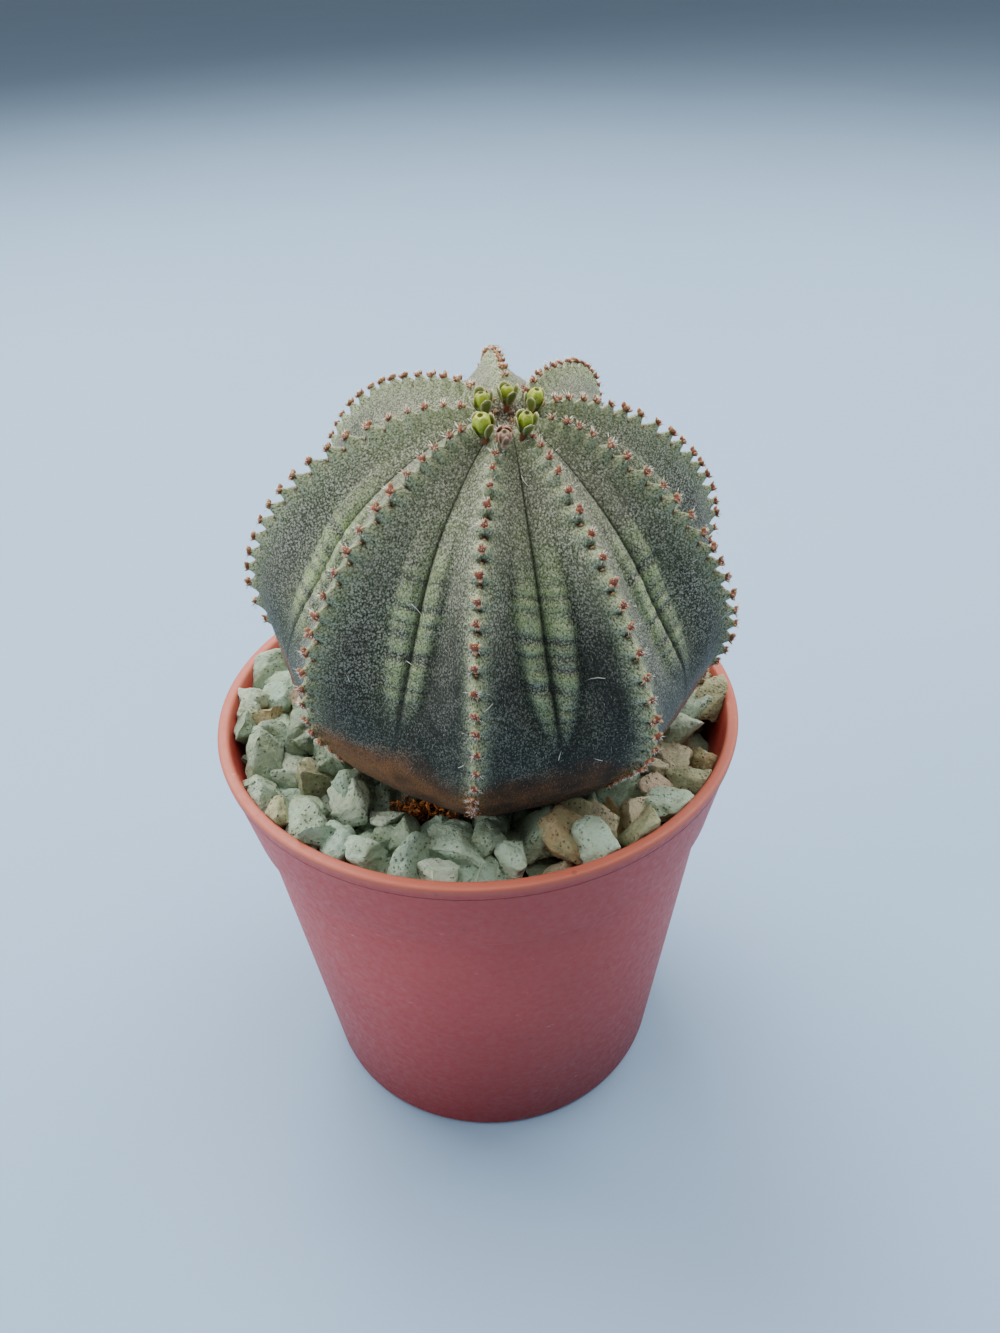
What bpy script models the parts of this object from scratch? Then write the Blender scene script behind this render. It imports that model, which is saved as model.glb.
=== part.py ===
"""Baseball plant, Euphorbia obesa, in a small round nursery pot topped with gravel.

Metres, +Z up. The origin is the centre of the pot's foot, on the surface that it stands on.
The plant leans to the front (-Y). Its ribs are counted counter-clockwise, seen from above,
from the rib that faces the front.
"""
import math
import random

import bmesh
import bpy
from mathutils import Euler, Matrix, Vector
from mathutils.bvhtree import BVHTree

GAP = 0.0003

# Pot: an 85 mm nursery pot with a deep rim band
POT_HEIGHT = 0.0747
RIM_RADIUS = 0.0425
RIM_LIP = 0.0019
LIP_ROUND = 0.0007
BAND_HEIGHT = 0.0153
BAND_LOW_RADIUS = 0.0395
BAND_EDGE_ROUND = 0.0003
BODY_TOP_RADIUS = 0.0384
BODY_LOW_RADIUS = 0.0315
WALL = 0.0015
FOOT_ROUND = 0.0012
FOOT_RING_WIDTH = 0.0040
FOOT_HEIGHT = 0.0020
FOOT_RING_SLOPE = 0.0008
FLOOR_TOP = 0.0038
CENTRE_DRAIN_RADIUS = 0.0045
SIDE_DRAIN_RADIUS = 0.0035
SIDE_DRAIN_RING = 0.0165
SIDE_DRAINS = 4
DRAIN_SIDES = 12
POT_SIDES = 48

# Fill: potting mix below, gravel above, and the plain hole in both that the plant stands in
SOIL_TOP = 0.0620
GRAVEL_BED_TOP = 0.0694
FILL_SIDES = 48
STONE_LENGTHS = (0.0058, 0.0084)
STONE_WIDTH_SHARES = (0.68, 0.92)
STONE_THICKNESS_SHARES = (0.55, 0.75)
STONE_TILT = 0.5
STONE_SPACING = 0.0057
STONE_RING_SPACING = 0.0052
STONE_JITTER = 0.0006
STONE_MIDDLE = 0.0705
STONE_POINTS = 8
STONE_POINT_JITTER = 0.35
STONE_SEED = 7
HOLE_CLEARANCE = 0.0006
HOLE_TOP = 0.0080
HOLE_SIDES = 24
HOLE_RINGS = 14

# Plant: where its middle is, how it leans, and its outline along a rib
PLANT_CENTRE = Vector((0.0050, -0.0002, 0.0808))
LEAN_TO_FRONT = math.radians(14.6)
LEAN_TO_RIGHT = math.radians(0.8)
OUTLINE = (
    (0.0000, 0.0485),
    (0.0022, 0.0496),
    (0.0050, 0.0502),
    (0.0112, 0.0488),
    (0.0197, 0.0445),
    (0.0266, 0.0383),
    (0.0317, 0.0306),
    (0.0344, 0.0224),
    (0.0348, 0.0144),
    (0.0330, 0.0067),
    (0.0293, 0.0001),
    (0.0208, -0.0085),
    (0.0166, -0.0160),
    (0.0148, -0.0225),
    (0.0112, -0.0320),
    (0.0065, -0.0430),
    (0.0028, -0.0505),
    (0.0000, -0.0525),
)
OUTLINE_PIECES = 12
NECK_HEIGHT = -0.0160
RIBS = 9
FRONT_RIB_TURN = math.radians(-98.5)
RIB_REACH = (0.95, 1.02, 0.94, 0.94, 0.99, 1.05, 1.04, 1.07, 1.02)
RIB_SHIFT_DEG = (1.5, 0.0, 0.5, -3.5, 2.5, -3.0, 0.0, -0.5, -0.5)
RIB_TWIST = -0.081
VALLEY_DEPTH = 0.21
BASE_VALLEY_DEPTH = 0.04
VALLEY_FADE = (0.010, 0.038)
BASE_REACH = 0.94
BASE_SHIFT = Vector((-0.0022, -0.0012, 0.0))
BASE_FADE = (0.005, 0.024)
FLANK_STEPS = (0.0, 0.28, 0.56, 0.79, 1.0)
TROUGH_STEP = 0.56
TROUGH_HALF_WIDTH = 0.28
TROUGH_DEPTH = 0.0006
LOBE_STEP = 0.79
LOBE_HALF_WIDTH = 0.21
LOBE_HEIGHT = 0.0007
LOBE_SPAN = (0.020, 0.030, 0.044, 0.049)
FIRST_ROW = 0.0016
ROW_SPACING = 0.0052
ROOT_ROW_SPACING = 0.0090

# Crest teeth: a stub of dried flower stalk on a small tubercle
TOOTH_SPACING = 0.0029
TOOTH_SPACING_SHARES = (0.88, 1.12)
TOOTH_SIZE_SHARES = (0.85, 1.12)
TOOTH_RISES = (0.15, 0.45)
TOOTH_START = 0.0085
TOOTH_END_HEIGHT = 0.0060
TOOTH_WIDTH = 0.0018
TOOTH_HEIGHT = 0.0013
TOOTH_ROOT = 0.0012
TOOTH_SIDES = 3
TOOTH_SEED = 3

# Flowers: place on top of the plant (right, back), height and widest radius
FLOWERS = (
    (-0.0030, -0.0046, 0.0046, 0.00140),
    (-0.0030, -0.0008, 0.0045, 0.00135),
    (-0.0002, 0.0016, 0.0038, 0.00125),
    (0.0029, -0.0002, 0.0039, 0.00125),
    (0.0015, -0.0050, 0.0044, 0.00130),
    (-0.0013, -0.0068, 0.0032, 0.00115),
)
DRIED_FLOWER = 6
FLOWER_OUTLINE = (
    (0.00, 0.00),
    (0.38, 0.00),
    (0.46, 0.22),
    (0.86, 0.42),
    (1.00, 0.66),
    (0.92, 0.84),
    (0.62, 1.00),
    (0.00, 0.93),
)
FLOWER_FLUTE = 0.86
FLOWER_SIDES = 10
ABOVE_PLANT = 0.070


def clear_scene():
    for obj in list(bpy.data.objects):
        bpy.data.objects.remove(obj)


def make_material(name, colour, roughness):
    material = bpy.data.materials.new(name)
    material.use_nodes = True
    shader = material.node_tree.nodes["Principled BSDF"]
    shader.inputs["Base Color"].default_value = (*colour, 1.0)
    shader.inputs["Roughness"].default_value = roughness
    shader.inputs["Metallic"].default_value = 0.0
    return material


def add_object(name, mesh_data, material=None):
    mesh = bpy.data.meshes.new(name)
    mesh_data.to_mesh(mesh)
    mesh_data.free()
    obj = bpy.data.objects.new(name, mesh)
    bpy.context.scene.collection.objects.link(obj)
    if material:
        mesh.materials.append(material)
    return obj


def shade_round(obj, sharp_angle):
    obj.data.shade_smooth()
    obj.data.set_sharp_from_angle(angle=sharp_angle)


def apply_modifiers(obj):
    graph = bpy.context.evaluated_depsgraph_get()
    mesh = bpy.data.meshes.new_from_object(obj.evaluated_get(graph))
    mesh.name = obj.name
    old_mesh = obj.data
    obj.modifiers.clear()
    obj.data = mesh
    bpy.data.meshes.remove(old_mesh)


def join_collection(obj, members):
    """Unite an object with every member, apply it, and remove the members."""
    group = bpy.data.collections.new(obj.name + "_members")
    bpy.context.scene.collection.children.link(group)
    for member in members:
        bpy.context.scene.collection.objects.unlink(member)
        group.objects.link(member)
    union = obj.modifiers.new("Join", "BOOLEAN")
    union.operation = "UNION"
    union.solver = "MANIFOLD"
    union.operand_type = "COLLECTION"
    union.collection = group
    apply_modifiers(obj)
    for member in members:
        bpy.data.objects.remove(member)
    bpy.data.collections.remove(group)


def cut_away(obj, cutter, solver):
    """Subtract a cutter from an object, apply it, and remove the cutter."""
    cutter.hide_render = True
    cutter.display_type = "WIRE"
    cut = obj.modifiers.new("Cut", "BOOLEAN")
    cut.operation = "DIFFERENCE"
    cut.solver = solver
    cut.object = cutter
    apply_modifiers(obj)
    bpy.data.objects.remove(cutter)


def drop_loose_scraps(obj):
    """Keep only the largest connected body of a mesh."""
    shape = bmesh.new()
    shape.from_mesh(obj.data)
    left = set(shape.verts)
    bodies = []
    while left:
        front = [left.pop()]
        body = set(front)
        while front:
            for edge in front.pop().link_edges:
                for vert in edge.verts:
                    if vert in left:
                        left.remove(vert)
                        body.add(vert)
                        front.append(vert)
        bodies.append(body)
    largest = max(bodies, key=len)
    scraps = [vert for vert in shape.verts if vert not in largest]
    bmesh.ops.delete(shape, geom=scraps, context="VERTS")
    shape.to_mesh(obj.data)
    shape.free()


def spin_profile(profile, sides):
    """Turn a closed (radius, height) outline round Z into a closed ring."""
    shape = bmesh.new()
    corners = [shape.verts.new((radius, 0.0, height)) for radius, height in profile]
    edges = []
    for corner, following in zip(corners, corners[1:] + corners[:1]):
        edges.append(shape.edges.new((corner, following)))
    bmesh.ops.spin(
        shape,
        geom=corners + edges,
        cent=(0.0, 0.0, 0.0),
        axis=(0.0, 0.0, 1.0),
        angle=math.tau,
        steps=sides,
        use_merge=True,
    )
    bmesh.ops.recalc_face_normals(shape, faces=shape.faces)
    return shape


def smooth_step(low, high, value):
    share = min(max((value - low) / (high - low), 0.0), 1.0)
    return share * share * (3.0 - 2.0 * share)


def smooth_curve(points, pieces):
    """Points of a Catmull-Rom curve through the given (radius, height) points."""
    padded = [points[0], *points, points[-1]]
    curve = []
    for before, start, end, after in zip(padded, padded[1:], padded[2:], padded[3:]):
        for piece in range(pieces):
            t = piece / pieces
            weights = (
                -0.5 * t + t * t - 0.5 * t ** 3,
                1.0 - 2.5 * t * t + 1.5 * t ** 3,
                0.5 * t + 2.0 * t * t - 1.5 * t ** 3,
                -0.5 * t * t + 0.5 * t ** 3,
            )
            quad = (before, start, end, after)
            curve.append(Vector([sum(w * p[k] for w, p in zip(weights, quad)) for k in (0, 1)]))
    curve.append(Vector(points[-1]))
    return curve


class Outline:
    """The outline of a rib, from the top of the plant down to the tip of its root."""

    def __init__(self, points):
        self.curve = smooth_curve(points, OUTLINE_PIECES)
        self.lengths = [0.0]
        for start, end in zip(self.curve, self.curve[1:]):
            self.lengths.append(self.lengths[-1] + (end - start).length)

    def at(self, length):
        """(radius, height) and the outward normal at a length along the outline."""
        length = min(max(length, 0.0), self.lengths[-1])
        index = 1
        while self.lengths[index] < length:
            index += 1
        start, end = self.curve[index - 1], self.curve[index]
        span = self.lengths[index] - self.lengths[index - 1]
        share = (length - self.lengths[index - 1]) / span
        run = (end - start).normalized()
        return start.lerp(end, share), Vector((-run.y, run.x))

    def length_at_height(self, height):
        """Length along the outline where it passes a height below its widest part."""
        for index in range(len(self.curve) - 1, 0, -1):
            if self.curve[index].y >= height:
                return self.lengths[index]
        return 0.0

    def radius_at_height(self, height):
        return self.at(self.length_at_height(height))[0].x


RIB_OUTLINE = Outline(OUTLINE)


def plant_frame():
    turn = Matrix.Rotation(LEAN_TO_RIGHT, 4, "Y") @ Matrix.Rotation(LEAN_TO_FRONT, 4, "X")
    return Matrix.Translation(PLANT_CENTRE) @ turn


def polar_point(radius, turn, height):
    return Vector((radius * math.cos(turn), radius * math.sin(turn), height))


def base_shift(height):
    """How far the round base of the plant stands off its axis, fading down to the neck."""
    return BASE_SHIFT * (1.0 - smooth_step(*BASE_FADE, height)) * smooth_step(NECK_HEIGHT, 0.0, height)


def rib_turn(rib, radius, height):
    """Angle round the plant of a rib's crest; the ribs twist slightly on their way down."""
    pitch = math.tau / RIBS
    latitude = math.atan2(height, radius)
    shift = math.radians(RIB_SHIFT_DEG[rib % RIBS])
    return FRONT_RIB_TURN + pitch * rib + shift + RIB_TWIST * latitude


def surface_point(length, rib, step):
    """A point of the skin: step 0 is the rib's crest, 1 the crease toward the next rib.

    A negative step runs the other way, toward the rib before.
    """
    (radius, height), normal = RIB_OUTLINE.at(length)
    other = rib + (1 if step >= 0.0 else -1)
    share = abs(step)
    ribbed = smooth_step(*BASE_FADE, height)
    deepening = smooth_step(*VALLEY_FADE, height)
    depth = radius * (BASE_VALLEY_DEPTH + (VALLEY_DEPTH - BASE_VALLEY_DEPTH) * deepening)
    crest_turn = rib_turn(rib, radius, height)
    crease_turn = 0.5 * (crest_turn + rib_turn(other, radius, height))
    crest_reach = BASE_REACH + (RIB_REACH[rib % RIBS] - BASE_REACH) * ribbed
    other_reach = BASE_REACH + (RIB_REACH[other % RIBS] - BASE_REACH) * ribbed
    crease_reach = 0.5 * (crest_reach + other_reach)
    crest = polar_point(radius * crest_reach, crest_turn, height)
    crease = polar_point((radius - normal.x * depth) * crease_reach, crease_turn, height - normal.y * depth)
    turn = crest_turn + (crease_turn - crest_turn) * share
    outward = polar_point(normal.x, turn, normal.y)
    return crest.lerp(crease, share) + outward * flank_relief(share, height) + base_shift(height)


def bump(value, centre, half_width):
    distance = abs(value - centre) / half_width
    return 0.5 + 0.5 * math.cos(math.pi * distance) if distance < 1.0 else 0.0


def flank_relief(share, height):
    """Height of the skin over the straight flank: a shallow trough, then a raised lobe by the crease."""
    low_start, low_end, high_start, high_end = LOBE_SPAN
    strength = smooth_step(low_start, low_end, height) * (1.0 - smooth_step(high_start, high_end, height))
    trough = TROUGH_DEPTH * bump(share, TROUGH_STEP, TROUGH_HALF_WIDTH)
    lobe = LOBE_HEIGHT * bump(share, LOBE_STEP, LOBE_HALF_WIDTH)
    return strength * (lobe - trough)


def skin_columns():
    """(rib, step) of every column of the skin, counter-clockwise."""
    columns = []
    for rib in range(RIBS):
        for step in FLANK_STEPS[:-1]:
            columns.append((rib, step))
        for step in FLANK_STEPS[:0:-1]:
            columns.append(((rib + 1) % RIBS, -step))
    return columns


def skin_rows():
    """Lengths along the outline of every row of the skin, without its two end points."""
    neck = RIB_OUTLINE.length_at_height(NECK_HEIGHT)
    total = RIB_OUTLINE.lengths[-1]
    rows = [FIRST_ROW]
    body_rows = round((neck - FIRST_ROW) / ROW_SPACING)
    for row in range(1, body_rows + 1):
        rows.append(FIRST_ROW + (neck - FIRST_ROW) * row / body_rows)
    root_rows = round((total - neck) / ROOT_ROW_SPACING)
    for row in range(1, root_rows):
        rows.append(neck + (total - neck) * row / root_rows)
    return rows


def make_skin():
    skin = bmesh.new()
    columns = skin_columns()
    rings = []
    for length in skin_rows():
        rings.append([skin.verts.new(surface_point(length, rib, step)) for rib, step in columns])
    count = len(columns)
    for upper, lower in zip(rings, rings[1:]):
        for index in range(count):
            following = (index + 1) % count
            skin.faces.new((upper[index], lower[index], lower[following], upper[following]))
    top = skin.verts.new((0.0, 0.0, OUTLINE[0][1]))
    tip = skin.verts.new((0.0, 0.0, OUTLINE[-1][1]))
    for index in range(count):
        following = (index + 1) % count
        skin.faces.new((top, rings[0][index], rings[0][following]))
        skin.faces.new((tip, rings[-1][following], rings[-1][index]))
    bmesh.ops.recalc_face_normals(skin, faces=skin.faces)
    return skin


def crest_directions(length, rib):
    """A point of the crest, its outward direction, and its direction toward the top of the plant."""
    reach = 0.5 * TOOTH_WIDTH
    here = surface_point(length, rib, 0.0)
    above = surface_point(length - reach, rib, 0.0)
    below = surface_point(length + reach, rib, 0.0)
    along = (above - below).normalized()
    (radius, height), normal = RIB_OUTLINE.at(length)
    outward = polar_point(normal.x, rib_turn(rib, radius, height), normal.y)
    outward = (outward - along * outward.dot(along)).normalized()
    return here, outward, along


def add_teeth_of_rib(rib, draw):
    """One object with every tooth of a rib: spikes with their roots sunk into the crest."""
    teeth = bmesh.new()
    end = RIB_OUTLINE.length_at_height(TOOTH_END_HEIGHT)
    length = TOOTH_START + TOOTH_SPACING * draw.uniform(0.0, 0.5)
    while length < end:
        here, outward, along = crest_directions(length, rib)
        size = draw.uniform(*TOOTH_SIZE_SHARES)
        height = TOOTH_HEIGHT * size
        tilt = (outward + along * draw.uniform(*TOOTH_RISES)).normalized()
        turn = tilt.to_track_quat("Z", "Y").to_matrix().to_4x4()
        middle = here + tilt * (height - TOOTH_ROOT) * 0.5
        bmesh.ops.create_cone(
            teeth,
            cap_ends=True,
            segments=TOOTH_SIDES,
            radius1=TOOTH_WIDTH * size * 0.5 * (height + TOOTH_ROOT) / height,
            radius2=0.0,
            depth=height + TOOTH_ROOT,
            matrix=Matrix.Translation(middle) @ turn,
        )
        length += TOOTH_SPACING * draw.uniform(*TOOTH_SPACING_SHARES)
    return add_object(f"teeth_{rib}", teeth)


def build_plant():
    material = make_material("plant_skin", (0.20, 0.27, 0.20), 0.75)
    plant = add_object("plant_body", make_skin(), material)
    draw = random.Random(TOOTH_SEED)
    teeth = [add_teeth_of_rib(rib, draw) for rib in range(RIBS)]
    join_collection(plant, teeth)
    plant.data.transform(plant_frame())
    shade_round(plant, math.radians(40.0))
    return plant


def pot_inner_radius(height):
    """Radius of the pot's inside at a height: the band flares more than the body."""
    band_bottom = POT_HEIGHT - BAND_HEIGHT
    body_top = BODY_TOP_RADIUS - WALL
    if height > band_bottom:
        share = (height - band_bottom) / BAND_HEIGHT
        return body_top + (RIM_RADIUS - RIM_LIP - body_top) * share
    share = (height - FLOOR_TOP) / (band_bottom - FLOOR_TOP)
    body_low = BODY_LOW_RADIUS - WALL
    return body_low + (body_top - body_low) * share


def build_pot():
    material = make_material("terracotta_plastic", (0.36, 0.15, 0.13), 0.55)
    band_bottom = POT_HEIGHT - BAND_HEIGHT
    foot_outer = BODY_LOW_RADIUS - FOOT_ROUND
    foot_inner = foot_outer - FOOT_RING_WIDTH
    corner = FOOT_ROUND * (1.0 - math.sqrt(0.5))
    profile = (
        (RIM_RADIUS - LIP_ROUND, POT_HEIGHT),
        (RIM_RADIUS, POT_HEIGHT - LIP_ROUND),
        (BAND_LOW_RADIUS, band_bottom + BAND_EDGE_ROUND),
        (BAND_LOW_RADIUS - BAND_EDGE_ROUND, band_bottom),
        (BODY_TOP_RADIUS, band_bottom),
        (BODY_LOW_RADIUS, FOOT_ROUND),
        (BODY_LOW_RADIUS - corner, corner),
        (foot_outer, 0.0),
        (foot_inner, 0.0),
        (foot_inner - FOOT_RING_SLOPE, FOOT_HEIGHT),
        (CENTRE_DRAIN_RADIUS, FOOT_HEIGHT),
        (CENTRE_DRAIN_RADIUS, FLOOR_TOP),
        (pot_inner_radius(FLOOR_TOP), FLOOR_TOP),
        (pot_inner_radius(band_bottom), band_bottom),
        (pot_inner_radius(POT_HEIGHT - LIP_ROUND), POT_HEIGHT - LIP_ROUND),
        (pot_inner_radius(POT_HEIGHT) + LIP_ROUND, POT_HEIGHT),
    )
    pot = add_object("pot", spin_profile(profile, POT_SIDES), material)
    drill = bmesh.new()
    for hole in range(SIDE_DRAINS):
        turn = math.tau * (hole + 0.5) / SIDE_DRAINS
        bmesh.ops.create_cone(
            drill,
            cap_ends=True,
            segments=DRAIN_SIDES,
            radius1=SIDE_DRAIN_RADIUS,
            radius2=SIDE_DRAIN_RADIUS,
            depth=FLOOR_TOP * 2.0,
            matrix=Matrix.Translation(polar_point(SIDE_DRAIN_RING, turn, FOOT_HEIGHT)),
        )
    cut_away(pot, add_object("drain_drill", drill), "EXACT")
    shade_round(pot, math.radians(30.0))
    return pot


def hole_radius(height):
    return RIB_OUTLINE.radius_at_height(height) * BASE_REACH + HOLE_CLEARANCE


def turned_solid(outline, sides, flute=1.0, shift=None):
    """A closed solid turned round Z from (radius, height) points, first and last on the axis.

    Every other side is drawn in by the flute share, and shift moves a ring sideways by its height.
    """
    shape = bmesh.new()
    rings = []
    for radius, height in outline[1:-1]:
        middle = shift(height) if shift else Vector()
        ring = []
        for side in range(sides):
            reach = radius * (flute if side % 2 else 1.0)
            ring.append(shape.verts.new(middle + polar_point(reach, math.tau * side / sides, height)))
        rings.append(ring)
    ends = [shape.verts.new((0.0, 0.0, outline[index][1])) for index in (0, -1)]
    for side in range(sides):
        following = (side + 1) % sides
        shape.faces.new((ends[0], rings[0][following], rings[0][side]))
        shape.faces.new((ends[1], rings[-1][side], rings[-1][following]))
        for lower, upper in zip(rings, rings[1:]):
            shape.faces.new((lower[side], lower[following], upper[following], upper[side]))
    bmesh.ops.recalc_face_normals(shape, faces=shape.faces)
    return shape


def cut_plant_hole(obj):
    """Cut the plain hole, a little wider than the plant's base and root, that the plant stands in."""
    tip = OUTLINE[-1][1] - HOLE_CLEARANCE
    end = RIB_OUTLINE.length_at_height(HOLE_TOP)
    outline = [(0.0, tip)]
    for ring in range(1, HOLE_RINGS + 1):
        length = RIB_OUTLINE.lengths[-1] + (end - RIB_OUTLINE.lengths[-1]) * ring / HOLE_RINGS
        height = RIB_OUTLINE.at(length)[0].y
        outline.append((hole_radius(height), height))
    outline.append((0.0, HOLE_TOP))
    cutter = add_object("plant_hole", turned_solid(outline, HOLE_SIDES, shift=base_shift))
    cutter.data.transform(plant_frame())
    cut_away(obj, cutter, "MANIFOLD")


def add_fill(name, bottom, top, material):
    """A round fill that follows the pot's inside between two heights."""
    fill = bmesh.new()
    bmesh.ops.create_cone(
        fill,
        cap_ends=True,
        segments=FILL_SIDES,
        radius1=pot_inner_radius(bottom) - GAP,
        radius2=pot_inner_radius(top) - GAP,
        depth=top - bottom,
        matrix=Matrix.Translation((0.0, 0.0, 0.5 * (bottom + top))),
    )
    return add_object(name, fill, material)


def build_soil():
    material = make_material("potting_mix", (0.05, 0.035, 0.025), 0.95)
    soil = add_fill("soil", FLOOR_TOP + GAP, SOIL_TOP, material)
    cut_plant_hole(soil)
    return soil


def hole_distance(place):
    """Distance from a place to the wall of the plant's hole, below zero inside the hole."""
    local = plant_frame().inverted() @ place
    local -= base_shift(local.z)
    return math.hypot(local.x, local.y) - hole_radius(local.z)


def add_stone(name, place, draw):
    """An angular stone: the hull of a few points on a flattened egg, kept inside the pot's wall."""
    length = draw.uniform(*STONE_LENGTHS)
    width = length * draw.uniform(*STONE_WIDTH_SHARES)
    half_sizes = (0.5 * length, 0.5 * width, 0.5 * length * draw.uniform(*STONE_THICKNESS_SHARES))
    tilts = [draw.uniform(-STONE_TILT, STONE_TILT) for _ in range(2)]
    turn = Euler((*tilts, draw.uniform(0.0, math.tau))).to_matrix()
    golden = math.pi * (3.0 - math.sqrt(5.0))
    stone = bmesh.new()
    for index in range(STONE_POINTS):
        rise = 1.0 - 2.0 * (index + 0.5) / STONE_POINTS
        around = index * golden + draw.uniform(-STONE_POINT_JITTER, STONE_POINT_JITTER)
        direction = polar_point(math.sqrt(1.0 - rise * rise), around, rise)
        corner = place + turn @ Vector([d * half for d, half in zip(direction, half_sizes)])
        reach = math.hypot(corner.x, corner.y)
        limit = pot_inner_radius(corner.z) - GAP
        if reach > limit:
            corner.x *= limit / reach
            corner.y *= limit / reach
        stone.verts.new(corner)
    hull = bmesh.ops.convex_hull(stone, input=stone.verts)
    loose = [item for item in hull["geom_interior"] if isinstance(item, bmesh.types.BMVert)]
    bmesh.ops.delete(stone, geom=loose, context="VERTS")
    bmesh.ops.recalc_face_normals(stone, faces=stone.faces)
    return add_object(name, stone)


def build_gravel():
    """The bed of the top dressing with its stones, laid in rings from the wall to the plant."""
    material = make_material("pale_green_gravel", (0.50, 0.56, 0.47), 0.9)
    gravel = add_fill("gravel", SOIL_TOP + GAP, GRAVEL_BED_TOP, material)
    draw = random.Random(STONE_SEED)
    stones = []
    ring_radius = pot_inner_radius(STONE_MIDDLE) - 0.5 * STONE_SPACING
    while ring_radius > 0.5 * STONE_SPACING:
        count = round(math.tau * ring_radius / STONE_SPACING)
        first_turn = draw.uniform(0.0, math.tau)
        for index in range(count):
            place = polar_point(ring_radius, first_turn + math.tau * index / count, STONE_MIDDLE)
            place += Vector([draw.uniform(-STONE_JITTER, STONE_JITTER) for _ in range(3)])
            if hole_distance(place) > 0.0:
                stones.append(add_stone(f"stone_{len(stones)}", place, draw))
        ring_radius -= STONE_RING_SPACING
    join_collection(gravel, stones)
    cut_plant_hole(gravel)
    drop_loose_scraps(gravel)
    return gravel


def build_flowers(plant):
    """Young flowers round the hollow at the top, each seated just above the skin."""
    young = make_material("young_flower", (0.42, 0.50, 0.12), 0.6)
    dried = make_material("dried_flower", (0.45, 0.27, 0.20), 0.8)
    frame = plant_frame()
    skin = BVHTree.FromPolygons(
        [vertex.co.copy() for vertex in plant.data.vertices],
        [polygon.vertices[:] for polygon in plant.data.polygons],
    )
    down = -(frame.to_3x3() @ Vector((0.0, 0.0, 1.0)))
    for number, (x, y, height, radius) in enumerate(FLOWERS, start=1):
        foot_radius = FLOWER_OUTLINE[1][0] * radius
        highest = 0.0
        for side in range(FLOWER_SIDES):
            turn = math.tau * side / FLOWER_SIDES
            above = Vector((x + foot_radius * math.cos(turn), y + foot_radius * math.sin(turn), ABOVE_PLANT))
            hit = skin.ray_cast(frame @ above, down)[0]
            highest = max(highest, (frame.inverted() @ hit).z)
        outline = [(share * radius, rise * height) for share, rise in FLOWER_OUTLINE]
        material = dried if number == DRIED_FLOWER else young
        flower = add_object(f"flower_{number}", turned_solid(outline, FLOWER_SIDES, FLOWER_FLUTE), material)
        flower.data.transform(frame @ Matrix.Translation((x, y, highest + GAP)))
        shade_round(flower, math.radians(50.0))


def build_all():
    clear_scene()
    build_pot()
    build_soil()
    build_gravel()
    plant = build_plant()
    build_flowers(plant)


build_all()
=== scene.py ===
"""Looks for a baseball plant in a nursery pot: hairy ribbed skin, crest stubs, flowers, gravel, pot.

Metres, +Z up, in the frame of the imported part. The plant leans to the front (-Y). Its ribs are
counted counter-clockwise, seen from above, from the rib that faces the front.
"""
import math
import random

import bmesh
import bpy
import numpy as np
from mathutils import Euler, Matrix, Vector, noise
from mathutils.bvhtree import BVHTree


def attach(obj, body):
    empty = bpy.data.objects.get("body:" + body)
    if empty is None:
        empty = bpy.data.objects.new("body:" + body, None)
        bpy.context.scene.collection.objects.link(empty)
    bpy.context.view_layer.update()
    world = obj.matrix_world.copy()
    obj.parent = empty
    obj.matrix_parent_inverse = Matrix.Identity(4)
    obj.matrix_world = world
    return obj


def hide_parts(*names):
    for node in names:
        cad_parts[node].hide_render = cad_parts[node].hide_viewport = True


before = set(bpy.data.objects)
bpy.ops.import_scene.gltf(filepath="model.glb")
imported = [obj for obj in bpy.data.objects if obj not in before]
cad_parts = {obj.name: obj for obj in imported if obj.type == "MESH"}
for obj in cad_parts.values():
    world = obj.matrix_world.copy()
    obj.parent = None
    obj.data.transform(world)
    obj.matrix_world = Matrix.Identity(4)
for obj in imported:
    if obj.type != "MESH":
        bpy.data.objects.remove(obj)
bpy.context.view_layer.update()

MM = 0.001

# Camera: the photograph's viewing angle
CAMERA_PLACE = Vector((0.0, -0.13802, 0.18066))
CAMERA_YAW = math.radians(1.602)
CAMERA_DOWN = math.radians(35.945)
CAMERA_ROLL = math.radians(-1.972)
SENSOR_HEIGHT = 36.0
LENS = 28.357

# Plant: where its middle is, how it leans, and its outline along a rib (radius, height)
PLANT_CENTRE = Vector((0.0050, -0.0002, 0.0808))
LEAN_TO_FRONT = math.radians(14.6)
LEAN_TO_RIGHT = math.radians(0.8)
OUTLINE = (
    (0.0000, 0.0485),
    (0.0022, 0.0496),
    (0.0050, 0.0502),
    (0.0112, 0.0488),
    (0.0197, 0.0445),
    (0.0266, 0.0383),
    (0.0317, 0.0306),
    (0.0344, 0.0224),
    (0.0348, 0.0144),
    (0.0330, 0.0067),
    (0.0293, 0.0001),
    (0.0208, -0.0085),
    (0.0166, -0.0160),
    (0.0148, -0.0225),
    (0.0112, -0.0320),
    (0.0065, -0.0430),
    (0.0028, -0.0505),
    (0.0000, -0.0525),
)
OUTLINE_PIECES = 16
WIDEST_RADIUS = 0.0348
NECK_HEIGHT = -0.0160
RIBS = 9
FRONT_RIB_TURN = math.radians(-98.5)
RIB_REACH = np.array((0.95, 1.02, 0.94, 0.94, 0.99, 1.035, 1.04, 1.07, 1.02))
RIB_SHIFT = np.radians((1.5, 0.0, 0.5, -3.5, 2.5, -3.0, 0.0, -0.5, -0.5))
RIB_TWIST = -0.081
VALLEY_DEPTH = 0.21
BASE_VALLEY_DEPTH = 0.04
VALLEY_FADE = (0.010, 0.038)
BASE_REACH = 0.94
BASE_SHIFT = np.array((-0.0022, -0.0012, 0.0))
BASE_FADE = (0.005, 0.024)

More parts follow.
